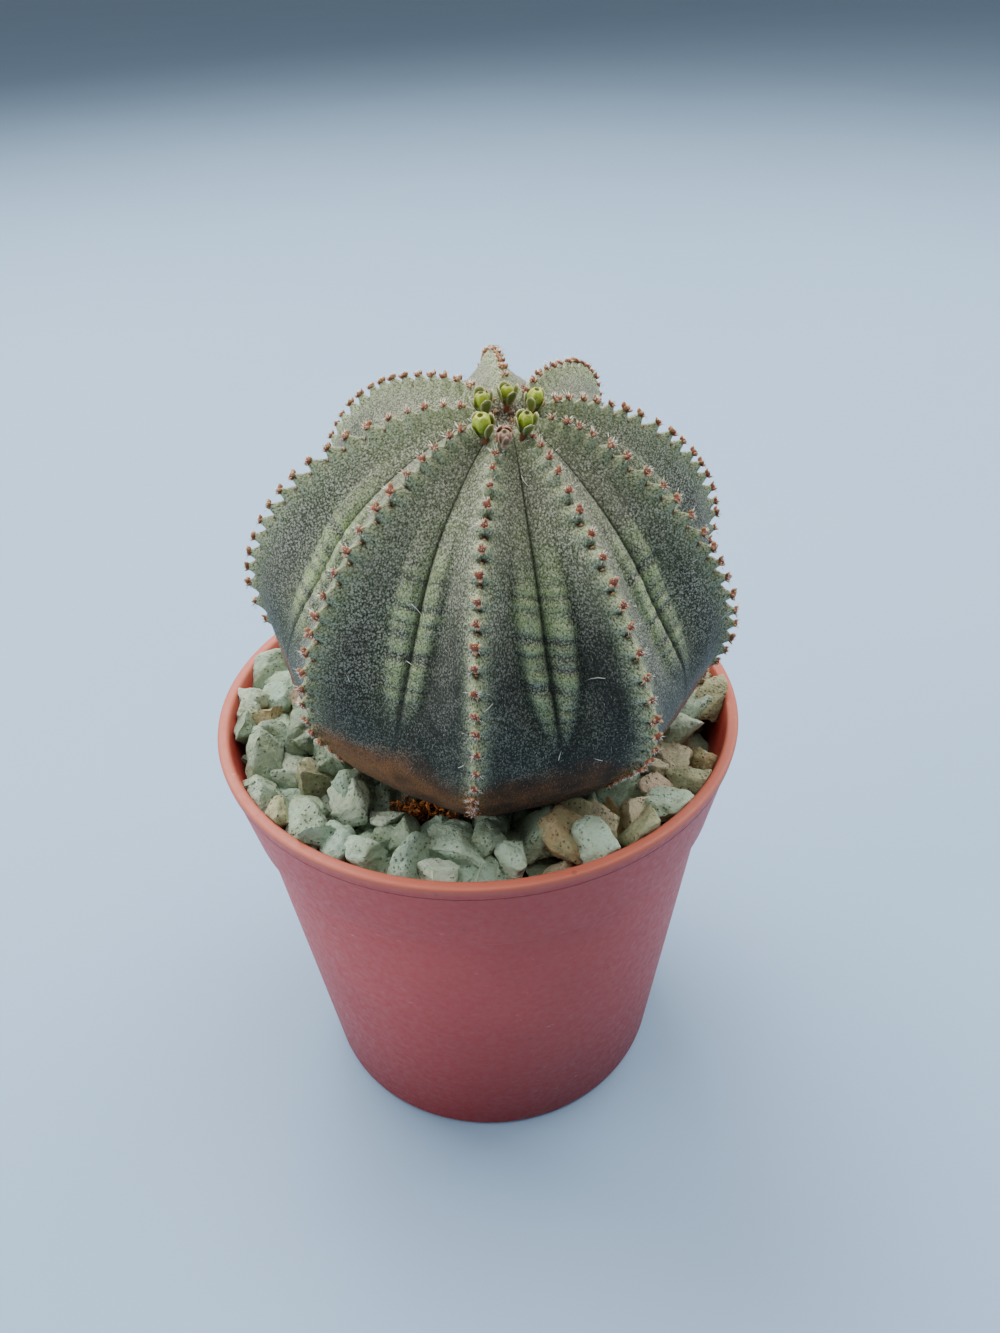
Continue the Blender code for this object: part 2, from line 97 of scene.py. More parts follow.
# Fine skin: how the mesh is divided
FLANK_COLUMNS = 24
ROW_SPACING = 0.37 * MM
HIDDEN_ROW_SPACING = 2.4 * MM
SHOWN_DOWN_TO = -0.0030

# Relief of the flanks
LOBE_EDGE_HEIGHTS = (0.018, 0.023, 0.030, 0.038, 0.047)
LOBE_EDGE_SHARES = (0.98, 0.81, 0.62, 0.51, 0.46)
SIDE_LOBE_TRIM = 0.14
SIDE_TRIM_SPAN = (0.022, 0.034)
LOBE_HEIGHT = 0.90 * MM
LOBE_STEEPNESS = 2.2
WIDE_LOBE = 0.40
LOBE_SPAN = (0.017, 0.028, 0.038, 0.049)
FOLD_STEP = 0.45
FOLD_DEPTH = 0.30 * MM
FOLD_HALF_WIDTH = 0.075
EDGE_CREASE_DEPTH = 0.45 * MM
EDGE_CREASE_HALF_WIDTH = 0.12
HOLLOW_BEFORE_EDGE = 0.10
HOLLOW_HALF_WIDTH = 0.32
HOLLOW_DEPTH = 0.55 * MM
BASE_KEEL_ROUND = 0.5 * MM
BAND_SPACING = 2.75 * MM
BAND_WANDER_RUN = 9.3 * MM
BAND_FADE_RUN = 6.7 * MM
BAND_SHARPNESS = 1.5
BAND_HEIGHT_ON_LOBE = 0.11 * MM
BAND_SPAN = (0.018, 0.029, 0.038, 0.045)
FRONT_CREASE = 0.5
FRONT_CREASE_REACH = 0.42

# Stubs on the crests
STUB_START = 4.6 * MM
STUB_END_HEIGHT = 0.0045
STUB_SPACINGS = (1.9 * MM, 2.95 * MM)
STUB_SPACING_SPAN = (6.0 * MM, 20.0 * MM)
STUB_SEED = 11
STUB_SIZES = (1.02, 1.34)
STUB_SUNK = 0.30 * MM
STUB_CORE = (0.44, 0.38, 0.34)
STUB_LOBE_LENGTH = 0.66 * MM
STUB_LOBE_WIDTH = 0.62 * MM
STUB_LOBE_THICKNESS = 0.30 * MM
BEAD_HALVES = (0.27, 0.17, 0.18)
TUBERCLE_HEIGHT = 1.34 * MM
TUBERCLE_ABOVE = 0.85 * MM
TUBERCLE_BELOW = 0.62 * MM
TUBERCLE_ACROSS = 1.15 * MM
PIT_BELOW = 1.20 * MM
PIT_DEPTH = 0.60 * MM
PIT_ALONG = 0.44 * MM
PIT_ACROSS = 0.66 * MM

# Cork at the base: how high it reaches, more toward the creases and at two places round the plant
# (place, reach, rise), with two sizes of wave in its edge (rise, spacing)
CORK_EDGE = 0.0134
CORK_RISE_TO_CREASE = 0.0028
CORK_SIDES = ((8.10, 0.50, 0.0030), (1.10, 0.75, 0.0020))
CORK_WAVES = ((0.0028, 9.0 * MM), (0.0010, 2.0 * MM))
CORK_BLEND = (0.0022, 0.0020)
CORK_CRACK_HEIGHT = 0.12 * MM
CORK_CRACK_SPACING = 1.4 * MM

# Where the skin's colours change: heights above the plant's middle, or shares of a flank
# Purple in each flank's hollow, partly the skin's own purple and partly painted shade of the hollow
PURPLE_SHADE_MIDDLE = 0.42
PURPLE_SHADE_REACH = 0.40
PURPLE_SHADE_SPAN = (0.012, 0.020, 0.030, 0.046)
# Painted shade of the lower flanks, partly the skin's own darker tone
PAINTED_SHADE_START = 0.012
PAINTED_SHADE_RISE = 0.020
PAINTED_SHADE_BLEND = 0.014
PAINTED_SHADE_SHARES = (0.02, 0.25)
TEAL_HEIGHTS = (0.020, 0.029)
LIT_HEIGHTS = (0.017, 0.031)
CREST_HALF_WIDTH = 1.6 * MM
CREST_HEIGHTS = (0.010, 0.034)
# Painted shade down the creases: its shares of a flank and its heights
CREASE_SHADE_SHARES = (0.965, 0.992)
CREASE_SHADE_HEIGHTS = (0.013, 0.018)
BARE_HEIGHTS = (0.018, 0.034)
BARE_CREASE_SHARES = (0.945, 0.975)
APEX_SPAN = (2.2 * MM, 4.4 * MM)
BLOTCH_SPACING = 11.0 * MM
MOTTLE_SPACING = 3.2 * MM

# Hairs, wool, fibres and dry scales: how many there are and how large. The spread radius is just over
# the plant's widest one, so that they are drawn evenly over the skin
SPREAD_RADIUS = 0.0352
SKIN_HAIRS = 60000
HAIR_REACH = (0.24 * MM, 0.50 * MM)
HAIR_WIDTH = (0.055 * MM, 0.095 * MM)
WOOL_PER_STUB = 14
WOOL_SPREAD = 0.42 * MM
WOOL_REACH = (0.38 * MM, 0.75 * MM)
WOOL_WIDTH = (0.09 * MM, 0.14 * MM)
LOOSE_FIBRES = 26
FIBRE_REACH = (1.2 * MM, 2.4 * MM)
FIBRE_WIDTH = 0.11 * MM
APEX_SCALES = 30
APEX_SCALE_SPAN = (0.8 * MM, 4.6 * MM)
APEX_SCALE_REACH = (0.7 * MM, 1.25 * MM)
APEX_SCALE_WIDTH = 0.55 * MM

# Flowers: place on top of the plant (right, back), height, widest radius, lean (right, back),
# turn of the first leaf, and kind
FLOWERS = (
    (-0.0030, -0.0046, 0.0046, 0.00140, (-0.16, -0.12), 0.5, "open"),
    (-0.0030, -0.0008, 0.0045, 0.00135, (-0.12, 0.10), -1.3, "closed"),
    (-0.0002, 0.0016, 0.0038, 0.00125, (0.06, 0.15), -1.1, "closed"),
    (0.0029, -0.0002, 0.0039, 0.00125, (0.16, 0.05), -0.4, "open"),
    (0.0015, -0.0050, 0.0044, 0.00130, (0.10, -0.14), -1.25, "half"),
    (-0.0010, -0.0068, 0.0036, 0.00112, (0.04, -0.26), -0.2, "dried"),
)
# Outlines of a flower's stalk and head, as shares of its radius and height
STALK_OUTLINE = ((0.34, -0.10), (0.36, 0.0), (0.32, 0.14), (0.40, 0.26), (0.72, 0.40), (0.84, 0.50))
BUD_OUTLINE = (
    (0.40, 0.38),
    (0.74, 0.48),
    (0.86, 0.60),
    (0.86, 0.72),
    (0.76, 0.84),
    (0.56, 0.93),
    (0.32, 0.97),
    (0.26, 0.93),
    (0.12, 0.88),
)
BUD_TOPS = {"open": 1.0, "half": 0.96, "closed": 0.90, "dried": 0.80}
LEAF_TOPS = {"open": 0.92, "half": 1.0, "closed": 1.08, "dried": 1.22}
CLOSED_WIDTH = 0.86
STALK_SIDES = 20
BUD_SIDES = 40
BUD_LOBES = 5
BUD_LOBE_DEPTH = 0.13
LEAVES = 4
DRIED_LEAVES = 5
LEAF_COLUMNS = 9
LEAF_ROWS = 10
# Height above the plant's middle from which the skin under a flower is looked for
ABOVE_PLANT = 0.070
SEAT_TRIES = 6

# Pot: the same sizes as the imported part
POT_HEIGHT = 0.0747
RIM_RADIUS = 0.0425
RIM_LIP = 0.0019
BAND_HEIGHT = 0.0153
BAND_LOW_RADIUS = 0.0395
BODY_TOP_RADIUS = 0.0384
BODY_LOW_RADIUS = 0.0315
WALL = 0.0015
RIM_SLOPE = 0.35 * MM
RIM_STEP = 0.27 * MM
RIM_STEP_DOWN = (2.2 * MM, 2.5 * MM)
FOOT_ROUND = 0.0012
FOOT_RING_WIDTH = 0.0040
FOOT_HEIGHT = 0.0020
FLOOR_TOP = 0.0038
CENTRE_DRAIN_RADIUS = 0.0045
SIDE_DRAIN_RADIUS = 0.0035
SIDE_DRAIN_RING = 0.0165
SIDE_DRAINS = 4
POT_SIDES = 192

# Litter between the stones and the plant: right, back and how much
LITTER_SPOTS = (
    (-0.0117, -0.0226, 0.8),
    (-0.0102, -0.0240, 1.0),
    (-0.0088, -0.0234, 0.8),
    (-0.0062, -0.0244, 1.0),
    (-0.0040, -0.0250, 0.8),
)
LITTER_HEIGHT = 0.0722
LITTER_ROOM = 1.3 * MM
LITTER_CRUMBS = 48
LITTER_SCATTER = (1.2 * MM, 0.8 * MM, 0.6 * MM)
LITTER_REACH = (0.5 * MM, 1.3 * MM)

# Gravel: how the pile is laid, and how a stone is cut from a ball (widths and heights as shares of
# its length, roughness as spacing and depth)
STONE_SIZES = (3.4 * MM, 7.6 * MM)
STONE_TRIES = 6400
LARGE_STONE = 5.3 * MM
STONE_CUTS = (7, 10)
STONE_CUT_PLACES = (0.36, 0.74)
STONE_HALF = 0.80
STONE_WIDTHS = (0.60, 0.92)
STONE_HEIGHTS = (0.50, 0.80)
STONE_TILT = 0.9
STONE_ROUGH = (0.46, 0.16)
STONE_FINE = (0.20, 0.17)
PILE_LOW = 0.0690
PILE_HIGH = 0.0732
PILE_RADIUS = 0.0405
STONE_TOUCH = 0.42
STONE_OVERLAP = 0.52
STONE_CLIMB = 0.4125
WALL_GAP = 0.26
PLANT_GAP = 0.36
UNDER_LAYERS = (0.0636, 0.0668)
UNDER_STONE = 5.6 * MM

# Studio: each lamp's name, place, width, height, power and colour
LIT_PLACE = (0.0, 0.0, 0.08)
LAMPS = (
    ("window_behind_left", (-0.35, 0.50, 0.85), 0.9, 0.7, 16.5, (1.0, 0.98, 0.94)),
    ("sky_above", (0.15, 0.0, 1.10), 0.9, 0.9, 8.8, (1.0, 0.99, 0.97)),
    ("fill_left", (-0.90, -0.20, 0.40), 0.7, 0.6, 6.0, (0.97, 0.99, 1.0)),
    ("fill_right", (0.90, 0.10, 0.40), 0.6, 0.6, 2.2, (0.95, 0.98, 1.0)),
    ("window_behind_right", (0.55, 0.42, 0.62), 0.6, 0.6, 4.2, (1.0, 0.99, 0.97)),
)
WORLD_COLOUR = (0.94, 0.97, 1.0, 1.0)
WORLD_STRENGTH = 0.27
FLOOR_HALF = 6.0
FLOOR_TONES = (np.array((0.27, 0.42, 0.62)), np.array((0.31, 0.46, 0.65)))


def srgb(red, green, blue):
    """Linear colour of an 8-bit screen colour."""
    parts = []
    for value in (red, green, blue):
        share = value / 255.0
        parts.append(share / 12.92 if share <= 0.04045 else ((share + 0.055) / 1.055) ** 2.4)
    return np.array(parts)


def smooth_step(low, high, value):
    """0 up to low, 1 from high on, and a smooth rise between."""
    share = np.clip((np.asarray(value, float) - low) / (high - low), 0.0, 1.0)
    return share * share * (3.0 - 2.0 * share)


def bump(value, centre, half_width):
    """1 at the centre, falling smoothly to 0 at the half width."""
    distance = np.clip(np.abs(value - centre) / half_width, 0.0, 1.0)
    return 0.5 + 0.5 * np.cos(np.pi * distance)


def smooth_curve(points, pieces):
    """Points of a Catmull-Rom curve through the given points."""
    padded = np.array([points[0], *points, points[-1]])
    t = (np.arange(pieces) / pieces)[:, None]
    parts = []
    for before, start, end, after in zip(padded, padded[1:], padded[2:], padded[3:]):
        parts.append(
            (-0.5 * t + t * t - 0.5 * t ** 3) * before
            + (1.0 - 2.5 * t * t + 1.5 * t ** 3) * start
            + (0.5 * t + 2.0 * t * t - 1.5 * t ** 3) * end
            + (-0.5 * t * t + 0.5 * t ** 3) * after
        )
    parts.append(padded[-1:])
    return np.concatenate(parts)


def rise_and_fall(span, value):
    """0 to 1 to 0: up between a span's first two numbers, down between its last two."""
    return smooth_step(span[0], span[1], value) * (1.0 - smooth_step(span[2], span[3], value))


def unit(vectors):
    """Directions of length 1."""
    return vectors / np.linalg.norm(vectors, axis=-1)[..., None]


class Outline:
    """The outline of a rib, from the top of the plant down to the tip of its root."""

    def __init__(self, points):
        self.curve = smooth_curve(points, OUTLINE_PIECES)
        runs = np.diff(self.curve, axis=0)
        steps = np.hypot(runs[:, 0], runs[:, 1])
        self.lengths = np.concatenate(([0.0], np.cumsum(steps)))
        tangents = unit(np.gradient(self.curve, self.lengths, axis=0))
        self.normals = np.stack((-tangents[:, 1], tangents[:, 0]), axis=1)

    def at(self, length):
        """Radius, height and the outward normal's two parts at lengths along the outline."""
        radius = np.interp(length, self.lengths, self.curve[:, 0])
        height = np.interp(length, self.lengths, self.curve[:, 1])
        out = np.interp(length, self.lengths, self.normals[:, 0])
        up = np.interp(length, self.lengths, self.normals[:, 1])
        scale = np.hypot(out, up)
        return radius, height, out / scale, up / scale

    def length_at_height(self, height):
        """Length along the outline where it passes a height below its widest part."""
        index = len(self.curve) - 1
        while self.curve[index, 1] < height:
            index -= 1
        return float(self.lengths[index])


RIB_OUTLINE = Outline(OUTLINE)


def plant_frame():
    """The plant's own frame: its middle, leaning to the front and a little to the right."""
    turn = Matrix.Rotation(LEAN_TO_RIGHT, 4, "Y") @ Matrix.Rotation(LEAN_TO_FRONT, 4, "X")
    return Matrix.Translation(PLANT_CENTRE) @ turn


def to_world(points):
    """Points of the plant's own frame, in the frame of the part."""
    matrix = np.array(plant_frame())
    return np.asarray(points) @ matrix[:3, :3].T + matrix[:3, 3]


def polar(radius, turn, height):
    return np.stack((radius * np.cos(turn), radius * np.sin(turn), height + 0.0 * turn), axis=-1)


def rib_turn(rib, radius, height):
    """Angle round the plant of a rib's crest; the ribs twist slightly on their way down."""
    latitude = np.arctan2(height, radius)
    return FRONT_RIB_TURN + math.tau / RIBS * rib + RIB_SHIFT[rib % RIBS] + RIB_TWIST * latitude


def base_shift(height):
    """How far the round base of the plant stands off its axis, fading down to the neck."""
    share = (1.0 - smooth_step(*BASE_FADE, height)) * smooth_step(NECK_HEIGHT, 0.0, height)
    return BASE_SHIFT * share[..., None]


class Skin:
    """Where the skin is, at lengths along the outline and places round the plant.

    A place of a whole number is a rib's crest, and one and a half is the crease after rib 1.
    """

    def __init__(self, length, place):
        length, place = np.broadcast_arrays(np.asarray(length, float), np.asarray(place, float))
        self.length = length
        self.place = place
        self.rib = np.round(place).astype(int)
        self.radius, self.height, out, up = RIB_OUTLINE.at(length)
        other = self.rib + np.where(place >= self.rib, 1, -1)
        self.share = 2.0 * np.abs(place - self.rib)
        ribbed = smooth_step(*BASE_FADE, self.height)
        deepening = smooth_step(*VALLEY_FADE, self.height)
        depth = self.radius * (BASE_VALLEY_DEPTH + (VALLEY_DEPTH - BASE_VALLEY_DEPTH) * deepening)
        crest_turn = rib_turn(self.rib, self.radius, self.height)
        crease_turn = 0.5 * (crest_turn + rib_turn(other, self.radius, self.height))
        crest_reach = BASE_REACH + (RIB_REACH[self.rib % RIBS] - BASE_REACH) * ribbed
        other_reach = BASE_REACH + (RIB_REACH[other % RIBS] - BASE_REACH) * ribbed
        crease_reach = 0.5 * (crest_reach + other_reach)
        crest = polar(self.radius * crest_reach, crest_turn, self.height)
        crease = polar((self.radius - out * depth) * crease_reach, crease_turn, self.height - up * depth)
        self.turn = crest_turn + (crease_turn - crest_turn) * self.share
        self.outward = polar(out, self.turn, up)
        mix = self.share[..., None]
        self.bare = crest * (1.0 - mix) + crease * mix + base_shift(self.height)
        self.across = self.share * self.radius * math.pi / RIBS
        self.offset = nearest_stub_offset(self)

    def points(self):
        """Points of the skin with its relief, in the part's frame."""
        relief = flank_relief(self) + crest_relief(self) + cork_relief(self)
        return to_world(self.bare + self.outward * relief[..., None])


def lobe_strength(height):
    return rise_and_fall(LOBE_SPAN, height)


def growth_band(skin):
    """-1 to 1: the uneven rings of growth that cross the lobes, broad with narrow grooves."""
    shown = rise_and_fall(BAND_SPAN, skin.height)
    round_length = math.tau * skin.length
    wander = 1.5 * np.sin(5.1 * skin.place + 0.4) + 1.6 * np.sin(round_length / BAND_WANDER_RUN + skin.place)
    uneven = 0.60 + 0.40 * np.sin(round_length / BAND_FADE_RUN + 3.3 * skin.place)
    wave = 0.5 + 0.5 * np.cos(round_length / BAND_SPACING + wander)
    return shown * uneven * (1.0 - 2.0 * wave ** BAND_SHARPNESS)


def front_crease(skin):
    """0 to 1: near the crease at the front, whose lobes are banded and cut off most sharply."""
    return bump(skin.place, FRONT_CREASE, FRONT_CREASE_REACH)


def lobe_edge(skin):
    """Share of the flank where the lobe starts: it narrows on its way down to the crease."""
    trim = SIDE_LOBE_TRIM * (1.0 - front_crease(skin)) * smooth_step(*SIDE_TRIM_SPAN, skin.height)
    return np.interp(skin.height, LOBE_EDGE_HEIGHTS, LOBE_EDGE_SHARES) + trim


def lobe_shape(skin):
    """0 to 1: the rounded lobe beside the crease, steep at both of its edges."""
    edge = lobe_edge(skin)
    middle = 0.5 * (1.0 + edge)
    off_middle = np.clip(np.abs(skin.share - middle) / (0.5 * (1.0 - edge)), 0.0, 1.0)
    return 1.0 - off_middle ** LOBE_STEEPNESS


def flank_relief(skin):
    """A hollow in each flank, and a rounded lobe with growth rings beside the crease."""
    strength = lobe_strength(skin.height)
    edge = lobe_edge(skin)
    front = front_crease(skin)
    hollow = HOLLOW_DEPTH * bump(skin.share, edge - HOLLOW_BEFORE_EDGE, HOLLOW_HALF_WIDTH)
    line = EDGE_CREASE_DEPTH * bump(skin.share, edge - 0.02, EDGE_CREASE_HALF_WIDTH)
    line = line * (0.55 + 0.45 * front)
    lobe = lobe_shape(skin)
    wide = np.clip((1.0 - edge) / WIDE_LOBE, 0.25, 1.0)
    fold_place = edge + FOLD_STEP * (1.0 - edge)
    line = line + FOLD_DEPTH * (1.0 - front) * bump(skin.share, fold_place, FOLD_HALF_WIDTH)
    banding = BAND_HEIGHT_ON_LOBE * growth_band(skin) * (1.0 + front)
    return strength * (LOBE_HEIGHT * wide * lobe - hollow - line + banding * (0.25 * skin.share + lobe))


def stub_lengths():
    """For each rib, the lengths along the outline where its stubs stand."""
    draw = random.Random(STUB_SEED)
    end = RIB_OUTLINE.length_at_height(STUB_END_HEIGHT)
    rows = []
    for _ in range(RIBS):
        length = STUB_START + draw.uniform(0.0, STUB_SPACINGS[0])
        row = []
        while length < end:
            row.append(length)
            spread = smooth_step(*STUB_SPACING_SPAN, length)
            spacing = STUB_SPACINGS[0] + (STUB_SPACINGS[1] - STUB_SPACINGS[0]) * float(spread)
            length += spacing * draw.uniform(0.86, 1.14)
        rows.append(np.array(row))
    return rows


STUBS = stub_lengths()


def nearest_stub_offset(skin):
    """Distance down the crest from the nearest stub of the same rib."""
    offset = np.full(skin.length.shape, 1.0)
    for rib, row in enumerate(STUBS):
        chosen = (skin.rib % RIBS) == rib
        length = skin.length[chosen]
        nearest = row[np.argmin(np.abs(length[:, None] - row[None, :]), axis=1)]
        offset[chosen] = length - nearest
    return offset


def tubercle_shape(skin):
    """0 to 1: the small hump that carries each stub, longer on its upper side."""
    reach = np.where(skin.offset < 0.0, TUBERCLE_ABOVE, TUBERCLE_BELOW)
    fade = smooth_step(0.0, 10.0 * MM, skin.length)
    return fade * np.exp(-((skin.offset / reach) ** 2) - (skin.across / TUBERCLE_ACROSS) ** 2)


def pit_shape(skin):
    """0 to 1: the dark oval scar below each stub."""
    shown = smooth_step(12.0 * MM, 18.0 * MM, skin.length) * smooth_step(0.012, 0.017, skin.height)
    along = (skin.offset - PIT_BELOW) / PIT_ALONG
    return shown * np.exp(-(along ** 2) - (skin.across / PIT_ACROSS) ** 2)


def crest_relief(skin):
    """Humps for the stubs, scars below them, and a rounder keel low down."""
    low = 0.35 + 0.65 * smooth_step(0.006, 0.016, skin.height)
    keel = BASE_KEEL_ROUND * (1.0 - smooth_step(0.008, 0.022, skin.height))
    keel = keel * np.exp(-((skin.across / (1.8 * MM)) ** 2))
    return TUBERCLE_HEIGHT * low * tubercle_shape(skin) - PIT_DEPTH * pit_shape(skin) - keel


def field(points, spacing, seed):
    """Smooth random values, -1 to 1, at points, with bumps about as far apart as the spacing."""
    flat = np.asarray(points).reshape(-1, 3) / spacing + seed * 17.3
    values = [noise.noise(Vector(point)) for point in flat]
    return np.array(values).reshape(np.asarray(points).shape[:-1])


def cork_share(skin):
    """0 to 1: how brown and corky the skin is, with a wavy upper edge."""
    edge = CORK_EDGE + CORK_RISE_TO_CREASE * smooth_step(0.2, 0.9, skin.share)
    for place, reach, rise in CORK_SIDES:
        edge = edge + rise * bump(skin.place, place, reach)
    for seed, (rise, spacing) in enumerate(CORK_WAVES, 1):
        edge = edge + rise * field(skin.bare, spacing, seed)
    return 1.0 - smooth_step(edge - CORK_BLEND[0], edge + CORK_BLEND[1], skin.height)


def cork_relief(skin):
    skin.cork = cork_share(skin)
    return CORK_CRACK_HEIGHT * skin.cork * field(skin.bare, CORK_CRACK_SPACING, 3)


def grid_faces(rows, columns):
    """Faces of a grid of points that closes on itself sideways."""
    row = np.arange(rows - 1)[:, None] * columns
    column = np.arange(columns)[None, :]
    following = (column + 1) % columns
    corners = (row + column, row + columns + column, row + columns + following, row + following)
    return np.stack(corners, axis=-1).reshape(-1, 4)


def make_object(name, points, faces, material, smooth=True):
    mesh = bpy.data.meshes.new(name)
    mesh.from_pydata(np.asarray(points).tolist(), [], [list(face) for face in faces])
    mesh.validate()
    mesh.materials.append(material)
    if smooth:
        mesh.shade_smooth()
    obj = bpy.data.objects.new(name, mesh)
    bpy.context.scene.collection.objects.link(obj)
    return obj


def paint(obj, colours, name="tint"):
    """Store one linear colour a point."""
    layer = obj.data.color_attributes.new(name, "FLOAT_COLOR", "POINT")
    rgba = np.ones((len(obj.data.vertices), 4), np.float32)
    rgba[:, :3] = np.clip(colours, 0.0, 1.0)
    layer.data.foreach_set("color", rgba.ravel())


def skin_places():
    """Places round the plant of the columns, closer together at the crests and creases."""
    even = np.arange(FLANK_COLUMNS) / FLANK_COLUMNS
    half = 0.25 * (even + 0.5 - 0.5 * np.cos(math.pi * even))
    places = []
    for rib in range(RIBS):
        places.extend(rib + half)
        places.extend(rib + 1.0 - np.append(0.5, half[:0:-1]))
    return np.array(places)


def skin_lengths():
    """Lengths of the rows: close together where the skin shows, far apart where gravel hides it."""
    shown = RIB_OUTLINE.length_at_height(SHOWN_DOWN_TO)
    total = float(RIB_OUTLINE.lengths[-1])
    start = 0.6 * MM
    seen = np.linspace(start, shown, round((shown - start) / ROW_SPACING))
    hidden = np.linspace(shown, total - start, round((total - shown) / HIDDEN_ROW_SPACING))
    return np.concatenate((seen, hidden[1:]))


def mixed(colour, target, share):
    """One colour, or one for each point, moved toward another by a share for each point."""
    return colour + (target - colour) * np.asarray(share)[..., None]


MAUVE = srgb(112, 111, 94)
LEAF_GREEN = srgb(82, 97, 58)
DEEP_GREEN = srgb(38, 46, 28)
HOLLOW_PURPLE_AND_SHADE = srgb(54, 50, 44)
TEAL = srgb(28, 46, 38)
BAND_GREEN = srgb(172, 192, 126)
CREST_GREEN = srgb(146, 162, 116)
CUP_GREEN = srgb(172, 186, 138)
PIT_BROWN = srgb(38, 22, 10)
CREASE_PAINTED_SHADE = srgb(16, 20, 16)
APEX_BROWN = srgb(58, 34, 24)
CORK_BROWN = srgb(116, 78, 46)
CORK_DARK = srgb(24, 15, 8)
OLIVE = srgb(104, 104, 58)
PAINTED_SHADE_GREEN = srgb(24, 26, 20)
# How dark painted shade makes each flank, partly the skin's own darker tone, counted from the front rib's
# right side
FLANK_PAINTED_SHADES = np.array((
    0.82, 1.0, 0.38, 0.50, 0.55, 0.10, 0.05, 0.10, 0.15,
    0.20, 0.20, 0.20, 0.15, 0.10, 0.10, 0.10, 0.58, 0.92,
))


def flank_painted_shade(skin):
    """How dark painted shade makes the skin on the flank it belongs to, blended across crests and creases.
    """
    spot = 2.0 * skin.place - 0.5
    lower = np.floor(spot).astype(int)
    mix = smooth_step(0.35, 0.65, spot - lower)
    count = len(FLANK_PAINTED_SHADES)
    return FLANK_PAINTED_SHADES[lower % count] * (1.0 - mix) + FLANK_PAINTED_SHADES[(lower + 1) % count] * mix


def painted_shade_share(skin):
    """0 to 1: how far painted shade darkens the skin on the lower flanks, with some of the skin's own darker
    tone.
    """
    mottle = field(skin.bare, MOTTLE_SPACING, 5)
    shade = flank_painted_shade(skin)
    above = (skin.height - PAINTED_SHADE_START - PAINTED_SHADE_RISE * shade) / PAINTED_SHADE_BLEND
    fade = (1.0 - smooth_step(0.0, 1.0, above)) * smooth_step(*PAINTED_SHADE_SHARES, skin.share)
    on_lobe = lobe_strength(skin.height) * lobe_shape(skin)
    deepened = shade * fade * (1.0 - 0.75 * on_lobe) * np.clip(0.9 + 0.35 * mottle, 0.0, 1.2)
    return np.clip(deepened, 0.0, 0.92)


def skin_colours(skin):
    """Linear colours of the skin before its fine flecks, with painted shade in its creases, hollows and
    lower flanks.
    """
    height = skin.height
    share = skin.share
    blotch = field(skin.bare, BLOTCH_SPACING, 4)
    mottle = field(skin.bare, MOTTLE_SPACING, 5)
    strength = lobe_strength(height)
    colour = mixed(MAUVE, LEAF_GREEN, np.clip(0.45 + 0.5 * blotch + 0.3 * mottle, 0.0, 1.0))
    colour = mixed(colour, DEEP_GREEN, 0.35 * (1.0 - smooth_step(0.010, 0.026, height)))
    # Purple over the hollow of each flank: partly the skin's own purple, partly painted shade of the hollow
    purple_and_shade = bump(share, PURPLE_SHADE_MIDDLE, PURPLE_SHADE_REACH) * rise_and_fall(PURPLE_SHADE_SPAN, height)
    colour = mixed(colour, HOLLOW_PURPLE_AND_SHADE, 0.85 * purple_and_shade * np.clip(0.8 + 0.5 * blotch, 0.0, 1.0))
    # Darker green along the groove at each lobe's edge: painted shade of the groove
    line = strength * bump(share, lobe_edge(skin) - 0.03, 0.13)
    colour = mixed(colour, DEEP_GREEN, (0.50 + 0.32 * front_crease(skin)) * line)
    low = (1.0 - smooth_step(*TEAL_HEIGHTS, height)) * smooth_step(0.15, 0.55, share)
    colour = mixed(colour, TEAL, 0.8 * low)
    soft = 0.15 - 0.07 * front_crease(skin)
    lobe = strength * smooth_step(lobe_edge(skin) - soft, lobe_edge(skin) + soft, share)
    band = np.clip(0.5 + 0.7 * growth_band(skin) + 0.7 * mottle, 0.0, 1.0)
    lit = smooth_step(*LIT_HEIGHTS, height)
    colour = mixed(colour, DEEP_GREEN, lobe * (1.0 - band) * 0.48)
    colour = mixed(colour, BAND_GREEN, lobe * band * (0.22 + 0.50 * lit))
    # Painted shade: the lower flanks darkened toward a dark green, most on the front flanks, which face away
    # from the lamps
    colour = mixed(colour, PAINTED_SHADE_GREEN, painted_shade_share(skin))
    crest = np.exp(-((skin.across / CREST_HALF_WIDTH) ** 2))
    colour = mixed(colour, CREST_GREEN, 0.52 * smooth_step(*CREST_HEIGHTS, height) * crest)
    cup = 0.45 + 0.35 * smooth_step(0.016, 0.034, height)
    colour = mixed(colour, CUP_GREEN, cup * tubercle_shape(skin))
    # Painted shade: a dark line down each crease between the ribs
    crease = smooth_step(*CREASE_SHADE_SHARES, share) * smooth_step(*CREASE_SHADE_HEIGHTS, height)
    colour = mixed(colour, CREASE_PAINTED_SHADE, 0.95 * crease)
    # Painted shade on the cork: darker toward the bottom by the gravel and round the ribs right of the front
    # rib, lighter round the rib left of it, with a random mottle
    cork_shade_and_mottle = 0.45 + 0.5 * mottle + 0.45 * bump(skin.place, 0.9, 1.2) - 0.25 * bump(skin.place, 8.3, 0.8)
    cork_shade_and_mottle = cork_shade_and_mottle + 0.5 * (1.0 - smooth_step(0.002, 0.011, height))
    cork = mixed(CORK_BROWN, CORK_DARK, np.clip(cork_shade_and_mottle, 0.0, 1.0))
    colour = mixed(colour, cork, skin.cork)
    colour = mixed(colour, OLIVE, 0.5 * crest * bump(height, 0.012, 0.006))
    colour = mixed(colour, PIT_BROWN, np.clip(1.7 * pit_shape(skin), 0.0, 1.0))
    apex = 1.0 - smooth_step(*APEX_SPAN, skin.length)
    return mixed(colour, APEX_BROWN, 0.85 * apex)


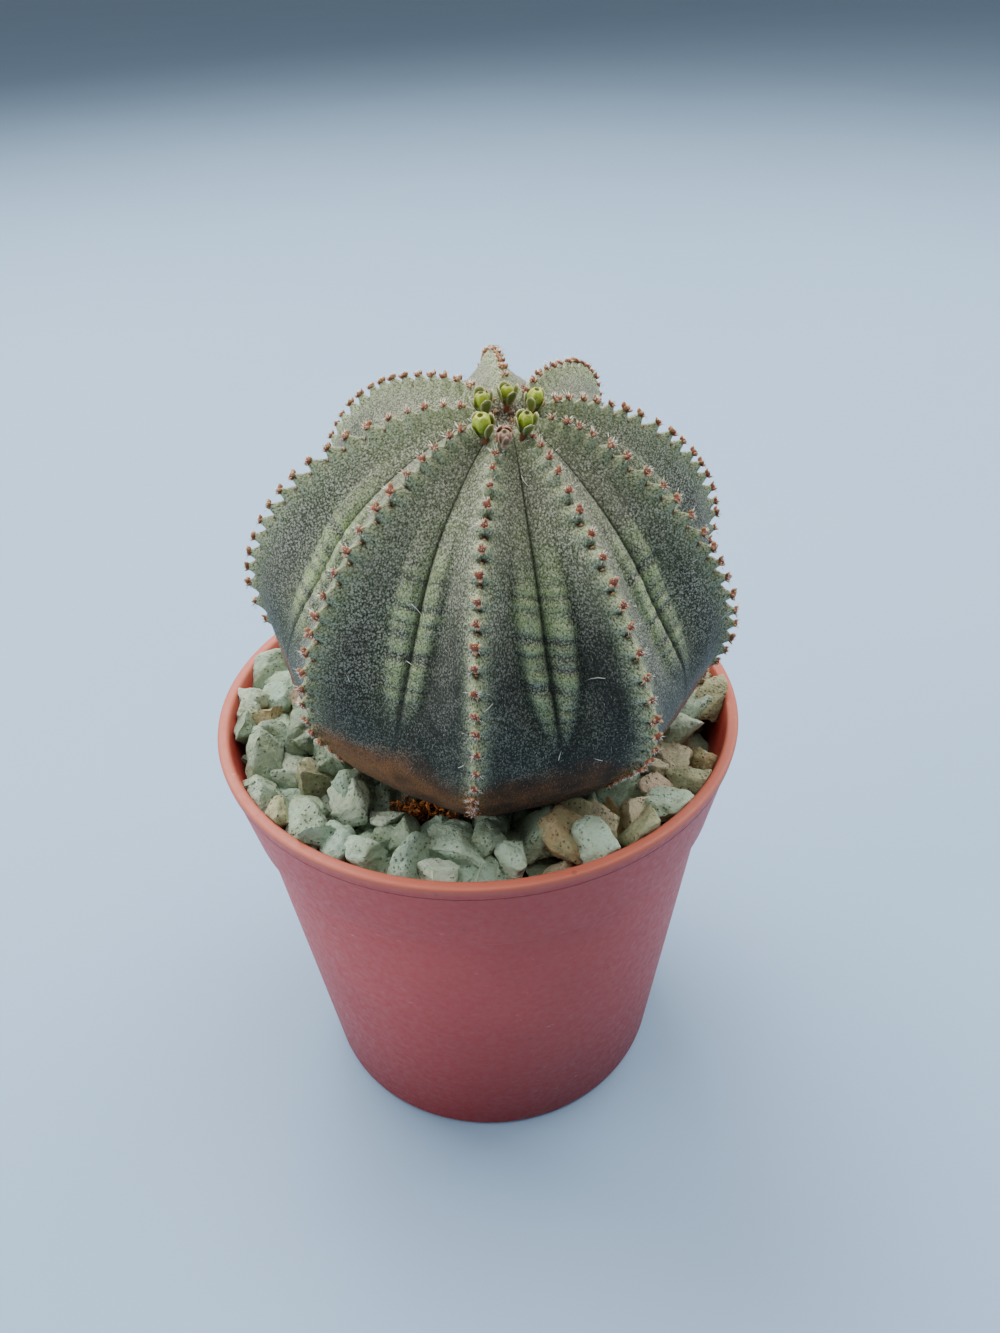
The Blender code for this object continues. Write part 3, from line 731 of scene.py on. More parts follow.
class Nodes:
    """Short calls that build one material's nodes."""

    def __init__(self, name, roughness, **settings):
        self.material = bpy.data.materials.new(name)
        self.material.use_nodes = True
        self.tree = self.material.node_tree
        self.shader = self.tree.nodes["Principled BSDF"]
        self.shader.inputs["Roughness"].default_value = roughness
        for socket, value in settings.items():
            self.shader.inputs[socket.replace("_", " ")].default_value = value

    def add(self, kind, **inputs):
        node = self.tree.nodes.new(kind)
        for socket, value in inputs.items():
            self.put(node.inputs[socket.replace("_", " ")], value)
        return node

    def put(self, socket, value):
        if isinstance(value, bpy.types.NodeSocket):
            self.tree.links.new(value, socket)
        else:
            socket.default_value = value

    def attribute(self, name):
        node = self.tree.nodes.new("ShaderNodeAttribute")
        node.attribute_name = name
        return node

    def object_place(self):
        return self.tree.nodes.new("ShaderNodeTexCoord").outputs["Object"]

    def unrolled_place(self, stretch):
        """The UV place of the skin, scaled sideways and lengthways."""
        node = self.tree.nodes.new("ShaderNodeUVMap")
        node.uv_map = "unrolled"
        return self.scaled(node.outputs["UV"], stretch)

    def scaled(self, vector, stretch):
        node = self.tree.nodes.new("ShaderNodeVectorMath")
        node.operation = "MULTIPLY"
        self.put(node.inputs[0], vector)
        node.inputs[1].default_value = stretch
        return node.outputs[0]

    def noise(self, vector, scale, detail=2.0, roughness=0.5):
        node = self.add("ShaderNodeTexNoise", Scale=scale, Detail=detail, Roughness=roughness)
        self.put(node.inputs["Vector"], vector)
        return node.outputs["Fac"]

    def cells(self, vector, scale):
        node = self.add("ShaderNodeTexVoronoi", Scale=scale)
        self.put(node.inputs["Vector"], vector)
        return node.outputs["Distance"]

    def ranged(self, value, low, high, out_low=0.0, out_high=1.0):
        node = self.add("ShaderNodeMapRange", From_Min=low, From_Max=high, To_Min=out_low, To_Max=out_high)
        self.put(node.inputs["Value"], value)
        return node.outputs[0]

    def tint(self):
        """The colour stored at the mesh's points."""
        return self.attribute("tint").outputs["Color"]

    def maths(self, operation, first, second):
        node = self.tree.nodes.new("ShaderNodeMath")
        node.operation = operation
        self.put(node.inputs[0], first)
        self.put(node.inputs[1], second)
        return node.outputs[0]

    def times(self, first, second):
        return self.maths("MULTIPLY", first, second)

    def mix(self, share, first, second):
        node = self.tree.nodes.new("ShaderNodeMix")
        node.data_type = "RGBA"
        self.put(node.inputs["Factor"], share)
        for socket, value in ((node.inputs["A"], first), (node.inputs["B"], second)):
            if isinstance(value, np.ndarray):
                value = (*value, 1.0)
            self.put(socket, value)
        return node.outputs["Result"]

    def colour(self, value):
        self.put(self.shader.inputs["Base Color"], value)

    def rough(self, value):
        self.put(self.shader.inputs["Roughness"], value)

    def bumped(self, height, strength, distance):
        node = self.add("ShaderNodeBump", Strength=strength, Distance=distance)
        self.put(node.inputs["Height"], height)
        self.put(self.shader.inputs["Normal"], node.outputs["Normal"])


def skin_material():
    """Green skin under short pale hair that lies along the ribs."""
    nodes = Nodes("hairy_skin", 0.66, Specular_IOR_Level=0.22, Sheen_Weight=0.04, Sheen_Roughness=0.5)
    tint = nodes.tint()
    cork = nodes.attribute("cork").outputs["Fac"]
    bare = nodes.attribute("bareness_and_shade").outputs["Fac"]
    strands = nodes.noise(nodes.unrolled_place((1.0, 0.50, 1.0)), 5600.0, 1.0, 0.5)
    grains = nodes.noise(nodes.object_place(), 4200.0, 1.0, 0.5)
    dots = nodes.ranged(nodes.cells(nodes.object_place(), 2750.0), 0.46, 0.30)
    pattern = nodes.maths("ADD", nodes.times(strands, 0.6), nodes.times(grains, 0.4))
    patches = nodes.noise(nodes.object_place(), 260.0, 2.0, 0.5)
    light = nodes.maths("MAXIMUM", dots, nodes.ranged(pattern, 0.53, 0.62, 0.0, 0.75))
    dark = nodes.ranged(pattern, 0.50, 0.40)
    # Fewer pale flecks where the skin is bare and where painted shade darkens the flanks
    haired = nodes.ranged(bare, 0.0, 1.0, 1.0, 0.14)
    amount = nodes.times(nodes.ranged(patches, 0.3, 0.7, 0.60, 1.0), haired)
    colour = nodes.mix(nodes.times(dark, 0.72), tint, srgb(16, 22, 12))
    pale = nodes.mix(cork, srgb(212, 214, 194), srgb(190, 122, 60))
    colour = nodes.mix(nodes.times(nodes.times(light, amount), 0.56), colour, pale)
    nodes.colour(colour)
    nodes.bumped(pattern, 0.35, 0.22 * MM)
    return nodes.material


def bareness_and_shade(skin):
    """0 to 1: how few pale hairs the skin has, low down, in the creases and pits, and on the flanks darkened
    by painted shade, where thinning them keeps the painted shade dark.
    """
    off_crest = 0.4 + 0.6 * smooth_step(0.02, 0.20, skin.share)
    low = 0.80 * (1.0 - smooth_step(*BARE_HEIGHTS, skin.height)) * off_crest
    bare = np.maximum(1.05 * painted_shade_share(skin), low * (1.0 - cork_share(skin)))
    crease = smooth_step(*BARE_CREASE_SHARES, skin.share) * smooth_step(0.012, 0.018, skin.height)
    bare = np.maximum(bare, crease)
    return np.clip(np.maximum(bare, 2.2 * pit_shape(skin)), 0.0, 1.0)


def build_skin():
    """The whole skin as one closed mesh, with its colours and hair patterns stored at its points."""
    places = skin_places()
    lengths = skin_lengths()
    skin = Skin(lengths[:, None], places[None, :])
    points = skin.points()
    rows, columns = skin.length.shape
    faces = grid_faces(rows, columns).tolist()
    top = rows * columns
    tip = top + 1
    last = (rows - 1) * columns
    for column in range(columns):
        following = (column + 1) % columns
        faces.append([top, column, following])
        faces.append([tip, last + following, last + column])
    ends = to_world([(0.0, 0.0, OUTLINE[0][1]), (0.0, 0.0, OUTLINE[-1][1])])
    obj = make_object("skin", np.concatenate((points.reshape(-1, 3), ends)), faces, skin_material())
    colours = skin_colours(skin).reshape(-1, 3)
    paint(obj, np.concatenate((colours, [colours[0], colours[-1]])))
    store_float(obj, "cork", np.append(skin.cork.ravel(), (0.0, 1.0)))
    store_float(obj, "bareness_and_shade", np.append(bareness_and_shade(skin).ravel(), (0.0, 0.0)))
    unroll(obj, skin)
    return obj


def store_float(obj, name, values):
    layer = obj.data.attributes.new(name, "FLOAT", "POINT")
    layer.data.foreach_set("value", np.asarray(values, np.float32))


def unroll(obj, skin):
    """UV: metres round the widest part and metres along the outline."""
    rows, columns = skin.length.shape
    widest = WIDEST_RADIUS * math.tau / RIBS
    across = np.append(np.broadcast_to(skin.place[0] * widest, (rows, columns)).ravel(), (0.0, 0.0))
    along = np.append(skin.length.ravel(), (0.0, float(RIB_OUTLINE.lengths[-1])))
    mesh = obj.data
    corner = np.zeros(len(mesh.loops), np.int32)
    mesh.loops.foreach_get("vertex_index", corner)
    starts = np.zeros(len(mesh.polygons), np.int32)
    totals = np.zeros(len(mesh.polygons), np.int32)
    mesh.polygons.foreach_get("loop_start", starts)
    mesh.polygons.foreach_get("loop_total", totals)
    u = across[corner]
    face_of_loop = np.repeat(np.arange(len(starts)), totals)
    widest_in_face = np.zeros(len(starts))
    np.maximum.at(widest_in_face, face_of_loop, u)
    full = widest * RIBS
    wraps = (widest_in_face[face_of_loop] > 0.7 * full) & (u < 0.3 * full)
    u = np.where(wraps, u + full, u)
    layer = mesh.uv_layers.new(name="unrolled")
    layer.data.foreach_set("uv", np.stack((u, along[corner]), axis=1).astype(np.float32).ravel())


class Pile:
    """Collects many small shapes into one mesh, with a colour for each point."""

    def __init__(self):
        self.points = []
        self.faces = []
        self.colours = []
        self.count = 0

    def add(self, points, faces, colours):
        points = np.asarray(points)
        self.points.append(points)
        self.faces.extend([[self.count + corner for corner in face] for face in faces])
        self.colours.append(np.broadcast_to(colours, points.shape))
        self.count += len(points)

    def build(self, name, material, smooth=True):
        obj = make_object(name, np.concatenate(self.points), self.faces, material, smooth)
        paint(obj, np.concatenate(self.colours))
        return obj


# How far apart the points are that give the skin's directions: along a rib, and round the plant in ribs
FRAME_STEP = 0.3 * MM
FRAME_STEP_ROUND = FRAME_STEP / (4.0 * MM)


def skin_frames(length, place):
    """Points of the skin with its outward, upward (toward the top) and sideways directions."""
    here = Skin(length, place).points()
    above = Skin(length - FRAME_STEP, place).points()
    beside = Skin(length, place + FRAME_STEP_ROUND).points()
    upward = unit(above - here)
    outward = unit(np.cross(beside - here, upward))
    return here, outward, upward, np.cross(upward, outward)


def crest_frames(rib, lengths):
    """Frames on the ridge of a rib, where the two flanks' directions are averaged."""
    here = Skin(lengths, float(rib))
    above = Skin(lengths - FRAME_STEP, float(rib)).points()
    below = Skin(lengths + FRAME_STEP, float(rib)).points()
    upward = unit(above - below)
    turn = np.array(plant_frame().to_3x3())
    outward = here.outward @ turn.T
    outward = unit(outward - upward * np.sum(outward * upward, axis=-1)[..., None])
    return here.points(), outward, upward, np.cross(upward, outward)


def ring_faces(rings, sides):
    """Faces between rings of points that follow one another."""
    faces = []
    for ring in range(rings - 1):
        for side in range(sides):
            following = (side + 1) % sides
            low = ring * sides
            high = low + sides
            faces.append([low + side, low + following, high + following, high + side])
    return faces


def petal(base, direction, bend, length, width, thickness, sides=5):
    """A small pointed scale: points and faces of a flattened cone that bends on its way out."""
    direction = direction / np.linalg.norm(direction)
    flat = np.cross(direction, bend)
    flat /= max(np.linalg.norm(flat), 1e-9)
    thin = np.cross(flat, direction)
    rings = []
    for along, reach in ((0.0, 0.80), (0.35, 1.0), (0.70, 0.62)):
        middle = base + direction * along * length + bend * along * along * length
        for side in range(sides):
            turn = math.tau * side / sides
            offset = flat * math.cos(turn) * width * 0.5 + thin * math.sin(turn) * thickness * 0.5
            rings.append(middle + offset * reach)
    rings.append(base + direction * length + bend * length)
    faces = ring_faces(3, sides)
    tip = len(rings) - 1
    for side in range(sides):
        faces.append([2 * sides + side, 2 * sides + (side + 1) % sides, tip])
    return np.array(rings), faces


def gauss_vector(draw, spread=1.0):
    """Three random numbers round zero."""
    return np.array([draw.gauss(0.0, spread) for _ in range(3)])


def fade_tints(count, low, high):
    """Colours from low to high over the points of a petal, whose rings come in order."""
    share = np.linspace(0.0, 1.0, count)
    return mixed(low, high, share)


STUB_RED = srgb(158, 78, 56)
STUB_TAN = srgb(228, 186, 138)
STUB_PINK = srgb(212, 156, 138)
STUB_ORANGE = srgb(206, 136, 86)
STUB_DARK = srgb(112, 64, 42)
BEAD_GOLD = srgb(206, 160, 96)


def build_crest_stubs():
    """Dried stalk stubs: forked and red-brown high up, star-like and pinkish low down."""
    pile = Pile()
    draw = random.Random(21)
    for rib, lengths in enumerate(STUBS):
        here, outward, upward, sideways = crest_frames(rib, lengths)
        heights = RIB_OUTLINE.at(lengths)[1]
        for index, length in enumerate(lengths):
            near_top = 1.0 - float(smooth_step(12.0 * MM, 20.0 * MM, length))
            low_down = 1.0 - float(smooth_step(0.016, 0.026, heights[index]))
            stub_frame = here[index], outward[index], upward[index], sideways[index]
            add_stub(pile, draw, *stub_frame, near_top, low_down)
    return pile.build("crest_stubs", stub_material())


def ball_axes(halves, sideways, upward, outward):
    """Half lengths in millimetres along three directions, as the rows that stretch a ball."""
    return np.stack((sideways * halves[0], upward * halves[1], outward * halves[2])) * MM


def add_stub(pile, draw, base, outward, upward, sideways, near_top, low_down):
    """One stub: a low core and three or four small lobes that spread from it."""
    size = draw.uniform(*STUB_SIZES) * (1.0 - 0.12 * near_top)
    base = base - outward * STUB_SUNK
    core, core_faces = ball(2)
    axes = ball_axes(STUB_CORE, sideways, upward, outward) * size
    low = mixed(STUB_DARK, STUB_RED, 0.4 + 0.5 * low_down)
    pile.add(base - outward * 0.04 * MM + core @ axes, core_faces, low)
    petals = 3 if near_top > 0.5 else draw.choice((3, 3, 4, 4))
    first = draw.uniform(-0.5, 0.5)
    for number in range(petals):
        spread = first + (number + 0.5) / petals * math.tau + draw.uniform(-0.3, 0.3)
        lean = 1.25 - 0.55 * near_top + 0.35 * low_down + draw.uniform(-0.15, 0.15)
        aside = sideways * math.cos(spread) + upward * math.sin(spread)
        direction = outward + aside * lean + upward * 0.25
        bend = (upward * 0.15 - aside * 0.25) * draw.uniform(0.4, 1.3)
        length = (STUB_LOBE_LENGTH + 0.12 * MM * near_top) * size * draw.uniform(0.85, 1.15)
        start = base - outward * 0.14 * MM + aside * 0.26 * MM * size
        width, thickness = STUB_LOBE_WIDTH * size, STUB_LOBE_THICKNESS * size
        points, faces = petal(start, direction, bend, length, width, thickness)
        tip = STUB_RED if near_top < 0.5 and draw.random() < 0.40 else STUB_ORANGE
        tip = mixed(tip, STUB_PINK, low_down * 0.8)
        tip = mixed(tip, STUB_TAN, draw.uniform(0.45, 1.0))
        pile.add(points, faces, fade_tints(len(points), low, tip))


def stub_material():
    nodes = Nodes("dried_stub", 0.8)
    tint = nodes.tint()
    grain = nodes.noise(nodes.object_place(), 4200.0, 2.0, 0.6)
    nodes.colour(nodes.mix(nodes.ranged(grain, 0.35, 0.7, 0.0, 0.55), tint, srgb(66, 34, 24)))
    nodes.bumped(grain, 0.4, 0.1 * MM)
    return nodes.material


def ball(divisions):
    """Points and faces of a ball of radius 1, as even triangles."""
    shape = bmesh.new()
    bmesh.ops.create_icosphere(shape, subdivisions=divisions, radius=1.0)
    points = np.array([vert.co[:] for vert in shape.verts])
    faces = [[vert.index for vert in face.verts] for face in shape.faces]
    shape.free()
    return points, faces


def build_scar_beads():
    """The small golden bead that sits in the scar below each stub."""
    pile = Pile()
    points, faces = ball(1)
    draw = random.Random(5)
    for rib, lengths in enumerate(STUBS):
        here, outward, upward, sideways = crest_frames(rib, lengths + PIT_BELOW)
        shown = (lengths > 14.0 * MM) & (RIB_OUTLINE.at(lengths)[1] > 0.013)
        for index in np.flatnonzero(shown):
            axes = ball_axes(BEAD_HALVES, sideways[index], upward[index], outward[index])
            middle = here[index] + outward[index] * 0.02 * MM - upward[index] * draw.uniform(0.05, 0.20) * MM
            pile.add(middle + points @ axes, faces, BEAD_GOLD * draw.uniform(0.5, 1.0))
    return pile.build("scar_beads", stub_material())


# No strand points this way, so it gives every strand a side
ODD_DIRECTION = (0.31, 0.52, 0.79)


def strands(base, direction, length, width, colours, name, material):
    """Many straight tapered hairs as one mesh: three thin faces each."""
    count = len(base)
    any_side = unit(np.cross(direction, ODD_DIRECTION))
    other_side = unit(np.cross(direction, any_side))
    points = np.empty((count, 4, 3))
    for corner in range(3):
        turn = math.tau * corner / 3.0
        aside = any_side * math.cos(turn) + other_side * math.sin(turn)
        points[:, corner] = base + aside * width[:, None] * 0.5
    points[:, 3] = base + direction * length[:, None]
    first = np.arange(count)[:, None] * 4
    faces = np.concatenate([first + (corner, (corner + 1) % 3, 3) for corner in range(3)])
    obj = make_object(name, points.reshape(-1, 3), faces.tolist(), material)
    paint(obj, np.repeat(colours, 4, axis=0))
    return obj


def hair_material(name):
    nodes = Nodes(name, 0.55)
    tint = nodes.tint()
    tone = nodes.noise(nodes.object_place(), 900.0, 1.0)
    nodes.colour(nodes.mix(nodes.ranged(tone, 0.35, 0.65, 0.0, 0.35), tint, srgb(120, 124, 112)))
    return nodes.material


HAIR_PALE = srgb(206, 208, 188)
HAIR_DIM = srgb(112, 120, 94)
HAIR_GOLD = srgb(214, 134, 58)
HAIR_RUST = srgb(126, 62, 28)
WOOL_DIM = srgb(222, 218, 204)
WOOL_WHITE = srgb(252, 250, 240)
FIBRE_WHITE = srgb(236, 236, 226)


def scattered(count, seed, low_height, high_length):
    """Random lengths and places on the skin, spread evenly over its area."""
    draw = np.random.default_rng(seed)
    end = RIB_OUTLINE.length_at_height(low_height)
    length = draw.uniform(high_length, end, count * 3)
    keep = draw.uniform(0.0, SPREAD_RADIUS, count * 3) < RIB_OUTLINE.at(length)[0]
    length = length[keep][:count]
    place = draw.uniform(0.0, RIBS, len(length))
    return length, place, draw


def build_skin_hairs():
    """Short pale hairs that lie down the ribs."""
    length, place, draw = scattered(SKIN_HAIRS, 31, 0.004, 2.0 * MM)
    skin = Skin(length, place)
    kept = draw.uniform(0.0, 1.0, len(length)) > 0.85 * bareness_and_shade(skin)
    length, place = length[kept], place[kept]
    here, outward, upward, sideways = skin_frames(length, place)
    count = len(length)
    rise = draw.uniform(0.15, 0.55, count)[:, None]
    swing = draw.normal(0.0, 0.28, count)[:, None]
    direction = unit(outward * rise - upward + sideways * swing)
    reach = draw.uniform(*HAIR_REACH, count)
    width = draw.uniform(*HAIR_WIDTH, count)
    cork = cork_share(skin)[kept]
    tone = draw.uniform(0.0, 1.0, count) ** 0.7
    colours = mixed(mixed(HAIR_DIM, HAIR_PALE, tone), mixed(HAIR_RUST, HAIR_GOLD, tone), cork)
    base = here - outward * 0.03 * MM
    return strands(base, direction, reach, width, colours, "skin_hairs", hair_material("pale_hair"))


def build_crest_wool():
    """Loose white wool round the stubs."""
    draw = np.random.default_rng(41)
    bases = []
    directions = []
    for rib, lengths in enumerate(STUBS):
        here, outward, upward, sideways = crest_frames(rib, np.repeat(lengths, WOOL_PER_STUB))
        count = len(here)
        aside = draw.normal(0.0, 1.0, (count, 1))
        rise = draw.normal(0.1, 0.7, (count, 1))
        spread = (sideways * aside + upward * rise) * WOOL_SPREAD
        bases.append(here + spread - outward * 0.16 * MM)
        lifted = outward * draw.uniform(0.5, 1.3, (count, 1))
        directions.append(unit(lifted + sideways * aside + upward * rise))
    base = np.concatenate(bases)
    count = len(base)
    reach = draw.uniform(*WOOL_REACH, count)
    width = draw.uniform(*WOOL_WIDTH, count)
    colours = mixed(WOOL_DIM, WOOL_WHITE, draw.uniform(0.0, 1.0, count))
    material = hair_material("crest_wool")
    return strands(base, np.concatenate(directions), reach, width, colours, "crest_wool", material)


def build_loose_fibres():
    """A few long white fibres that have dropped on the upper skin."""
    pile = Pile()
    length, place, draw = scattered(LOOSE_FIBRES, 57, 0.016, 7.0 * MM)
    here, outward, upward, sideways = skin_frames(length, place)
    for index in range(len(length)):
        turn = draw.uniform(0.0, math.tau)
        along = upward[index] * math.cos(turn) + sideways[index] * math.sin(turn)
        bend = (upward[index] * math.sin(turn) - sideways[index] * math.cos(turn)) * draw.uniform(-0.6, 0.6)
        start = here[index] + outward[index] * 0.10 * MM
        reach = draw.uniform(*FIBRE_REACH)
        direction = along + outward[index] * 0.12
        points, faces = petal(start, direction, bend, reach, FIBRE_WIDTH, FIBRE_WIDTH)
        pile.add(points, faces, FIBRE_WHITE)
    return pile.build("loose_fibres", hair_material("loose_fibre"))


BUD_GREEN = srgb(128, 156, 14)
BUD_LIGHT = srgb(190, 206, 58)
CUP_OLIVE = srgb(96, 106, 46)
BUD_HOLLOW_SHADE = srgb(66, 60, 34)
LEAF_EDGE = srgb(208, 206, 158)
FOOT_PINK = srgb(150, 78, 66)
DRY_PINK = srgb(222, 190, 168)
DRY_BROWN = srgb(138, 92, 66)


def turned(outline, sides, ribs=0, rib_share=0.0):
    """Points and faces of a closed shape turned round Z from (radius, height) points off the axis."""
    turns = np.arange(sides) * math.tau / sides
    wave = 1.0 - rib_share * (0.5 + 0.5 * np.cos(turns * ribs)) if ribs else np.ones(sides)
    rings = [polar(radius * wave, turns, height) for radius, height in outline]
    points = np.concatenate((*rings, [(0.0, 0.0, outline[0][1])], [(0.0, 0.0, outline[-1][1])]))
    last = (len(outline) - 1) * sides
    bottom = len(points) - 2
    top = len(points) - 1
    faces = ring_faces(len(outline), sides)
    for side in range(sides):
        following = (side + 1) % sides
        faces.append([bottom, following, side])
        faces.append([top, last + side, last + following])
    return points, faces


def leaf(turn, radius, low, high, width, flare, thickness):
    """A spoon-shaped small leaf that stands round a bud: points, faces and how near its edge each is."""
    u = np.linspace(-1.0, 1.0, LEAF_COLUMNS)[None, :]
    v = np.linspace(0.0, 1.0, LEAF_ROWS)[:, None]
    half = width * 0.5 * np.sqrt(np.clip(1.0 - (np.abs(v - 0.45) / 0.56) ** 2.6, 0.0, 1.0))
    reach = radius * (0.42 + 0.62 * np.sin(np.clip(v * 1.15, 0.0, 1.0) * math.pi * 0.5)) + flare * v ** 3
    angle = turn + u * half / (radius * 1.05)
    height = low + (high - low) * v + 0.0 * u
    layers = []
    for inset in (0.0, thickness):
        shell = reach - inset + 0.10 * radius * u * u
        layers.append(polar(shell, angle, height).reshape(-1, 3))
    faces = []
    grid = np.arange(LEAF_ROWS * LEAF_COLUMNS).reshape(LEAF_ROWS, LEAF_COLUMNS)
    for row in range(LEAF_ROWS - 1):
        for column in range(LEAF_COLUMNS - 1):
            first = row * LEAF_COLUMNS + column
            quad = [first, first + 1, first + LEAF_COLUMNS + 1, first + LEAF_COLUMNS]
            faces.append(quad)
            faces.append([grid.size + corner for corner in reversed(quad)])
    around = (grid[0], grid[1:, -1], grid[-1, -2::-1], grid[-2:0:-1, 0])
    border = np.concatenate(around).tolist()
    for start, end in zip(border, border[1:] + border[:1]):
        faces.append([end, start, grid.size + start, grid.size + end])
    edge = np.maximum(smooth_step(0.55, 1.0, np.abs(u)) + 0.0 * v, smooth_step(0.80, 1.0, v) + 0.0 * u)
    return np.concatenate(layers), faces, np.tile(edge.ravel(), 2)


def add_stalk(pile, height, radius, dried):
    outline = [(share * radius, rise * height) for share, rise in STALK_OUTLINE]
    points, faces = turned(outline, STALK_SIDES)
    rise = np.clip(points[:, 2] / (0.45 * height), 0.0, 1.0)
    foot, cup = (DRY_PINK, DRY_BROWN) if dried else (FOOT_PINK, CUP_OLIVE)
    pile.add(points, faces, mixed(foot, cup, rise))


def add_bud(pile, height, radius, kind):
    """The five-lobed head with a small hollow in its top."""
    scale = 1.0 if kind == "open" else CLOSED_WIDTH
    top = height * BUD_TOPS[kind]
    outline = [(share * radius * scale, rise * top) for share, rise in BUD_OUTLINE]
    points, faces = turned(outline, BUD_SIDES, BUD_LOBES, BUD_LOBE_DEPTH)
    light = np.clip((points[:, 2] / height - 0.45) / 0.5, 0.0, 1.0)
    low, high = (DRY_BROWN, DRY_PINK) if kind == "dried" else (BUD_GREEN * 0.72, BUD_LIGHT)
    hollow = np.hypot(points[:, 0], points[:, 1]) < 0.28 * radius
    # Painted shade in the small hollow at the head's top
    shade = mixed(mixed(low, high, light), BUD_HOLLOW_SHADE, 0.7 * (hollow & (points[:, 2] > 0.7 * height)))
    pile.add(points, faces, shade)


def add_leaves(pile, draw, first_turn, height, radius, kind):
    """The small leaves that stand round the head."""
    dried = kind == "dried"
    count = DRIED_LEAVES if dried else LEAVES
    for index in range(count):
        turn = first_turn + math.tau * index / count + draw.uniform(-0.15, 0.15)
        high_end = height * BUD_TOPS[kind] * draw.uniform(0.78, 0.92) * LEAF_TOPS[kind]
        width = radius * draw.uniform(1.05, 1.25)
        flare = radius * (-0.34 if dried else 0.04)
        points, faces, edge = leaf(turn, radius, 0.22 * height, high_end, width, flare, 0.10 * MM)
        middle = DRY_BROWN if dried else mixed(CUP_OLIVE, BUD_GREEN, draw.uniform(0.0, 0.35))
        pile.add(points, faces, mixed(middle, DRY_PINK if dried else LEAF_EDGE, edge * 0.9))


def seat_height(x, y, radius, skin_tree):
    """Mean height of the skin under a flower, in the plant's own frame."""
    down = -(plant_frame().to_3x3() @ Vector((0.0, 0.0, 1.0)))
    seats = []
    for turn in np.arange(SEAT_TRIES) * math.tau / SEAT_TRIES:
        above = Vector((x + 0.3 * radius * math.cos(turn), y + 0.3 * radius * math.sin(turn), ABOVE_PLANT))
        seats.append((plant_frame().inverted() @ skin_tree.ray_cast(plant_frame() @ above, down)[0]).z)
    return sum(seats) / len(seats)


def build_flower(number, skin_tree):
    x, y, height, radius, lean, first_turn, kind = FLOWERS[number - 1]
    pile = Pile()
    add_stalk(pile, height, radius, kind == "dried")
    add_bud(pile, height, radius, kind)
    add_leaves(pile, random.Random(60 + number), first_turn, height, radius, kind)
    obj = pile.build(f"fine_flower_{number}", flower_material(kind == "dried"))
    tilt = Matrix.Rotation(lean[0], 4, "Y") @ Matrix.Rotation(-lean[1], 4, "X")
    seat = Matrix.Translation((x, y, seat_height(x, y, radius, skin_tree)))
    obj.data.transform(plant_frame() @ seat @ tilt)
    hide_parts(f"flower_{number}")
    return obj


def build_apex_scales():
    """Small dry scales and hooked stubs packed round the growing point between the flowers."""
    pile = Pile()
    draw = random.Random(33)
    lengths = np.array([draw.uniform(*APEX_SCALE_SPAN) for _ in range(APEX_SCALES)])
    places = np.array([draw.uniform(0.0, RIBS) for _ in range(APEX_SCALES)])
    here, outward, upward, sideways = skin_frames(lengths, places)
    for index in range(APEX_SCALES):
        aside = sideways[index] * draw.uniform(-0.8, 0.8)
        direction = outward[index] + aside - upward[index] * draw.uniform(0.0, 0.5)
        length = draw.uniform(*APEX_SCALE_REACH)
        start = here[index] - outward[index] * 0.12 * MM
        points, faces = petal(start, direction, upward[index] * 0.35, length, APEX_SCALE_WIDTH, 0.30 * MM)
        tip = mixed(STUB_ORANGE, mixed(STUB_TAN, STUB_PINK, draw.random()), draw.uniform(0.2, 0.9))
        pile.add(points, faces, fade_tints(len(points), STUB_DARK, tip))
    return pile.build("apex_scales", stub_material())


def flower_material(dried):
    nodes = Nodes("dried_flower_skin" if dried else "young_flower_skin", 0.5, Subsurface_Weight=0.15)
    nodes.shader.inputs["Subsurface Radius"].default_value = (0.0006, 0.0006, 0.0002)
    tint = nodes.tint()
    grain = nodes.noise(nodes.object_place(), 2600.0, 2.0)
    nodes.colour(nodes.mix(nodes.ranged(grain, 0.4, 0.7, 0.0, 0.45), tint, srgb(74, 78, 34)))
    nodes.bumped(grain, 0.25, 0.12 * MM)
    return nodes.material


def rounded(corners, pieces=5):
    """A (radius, height) outline with each corner replaced by a short curve of its own radius."""
    outline = []
    count = len(corners)
    for index, (radius, height, rounding) in enumerate(corners):
        here = Vector((radius, height))
        if rounding == 0.0:
            outline.append(here)
            continue
        before = Vector(corners[index - 1][:2])
        after = Vector(corners[(index + 1) % count][:2])
        start = here + (before - here).normalized() * rounding
        end = here + (after - here).normalized() * rounding
        for piece in range(pieces + 1):
            t = piece / pieces
            outline.append(start.lerp(here, t).lerp(here.lerp(end, t), t))
    return outline


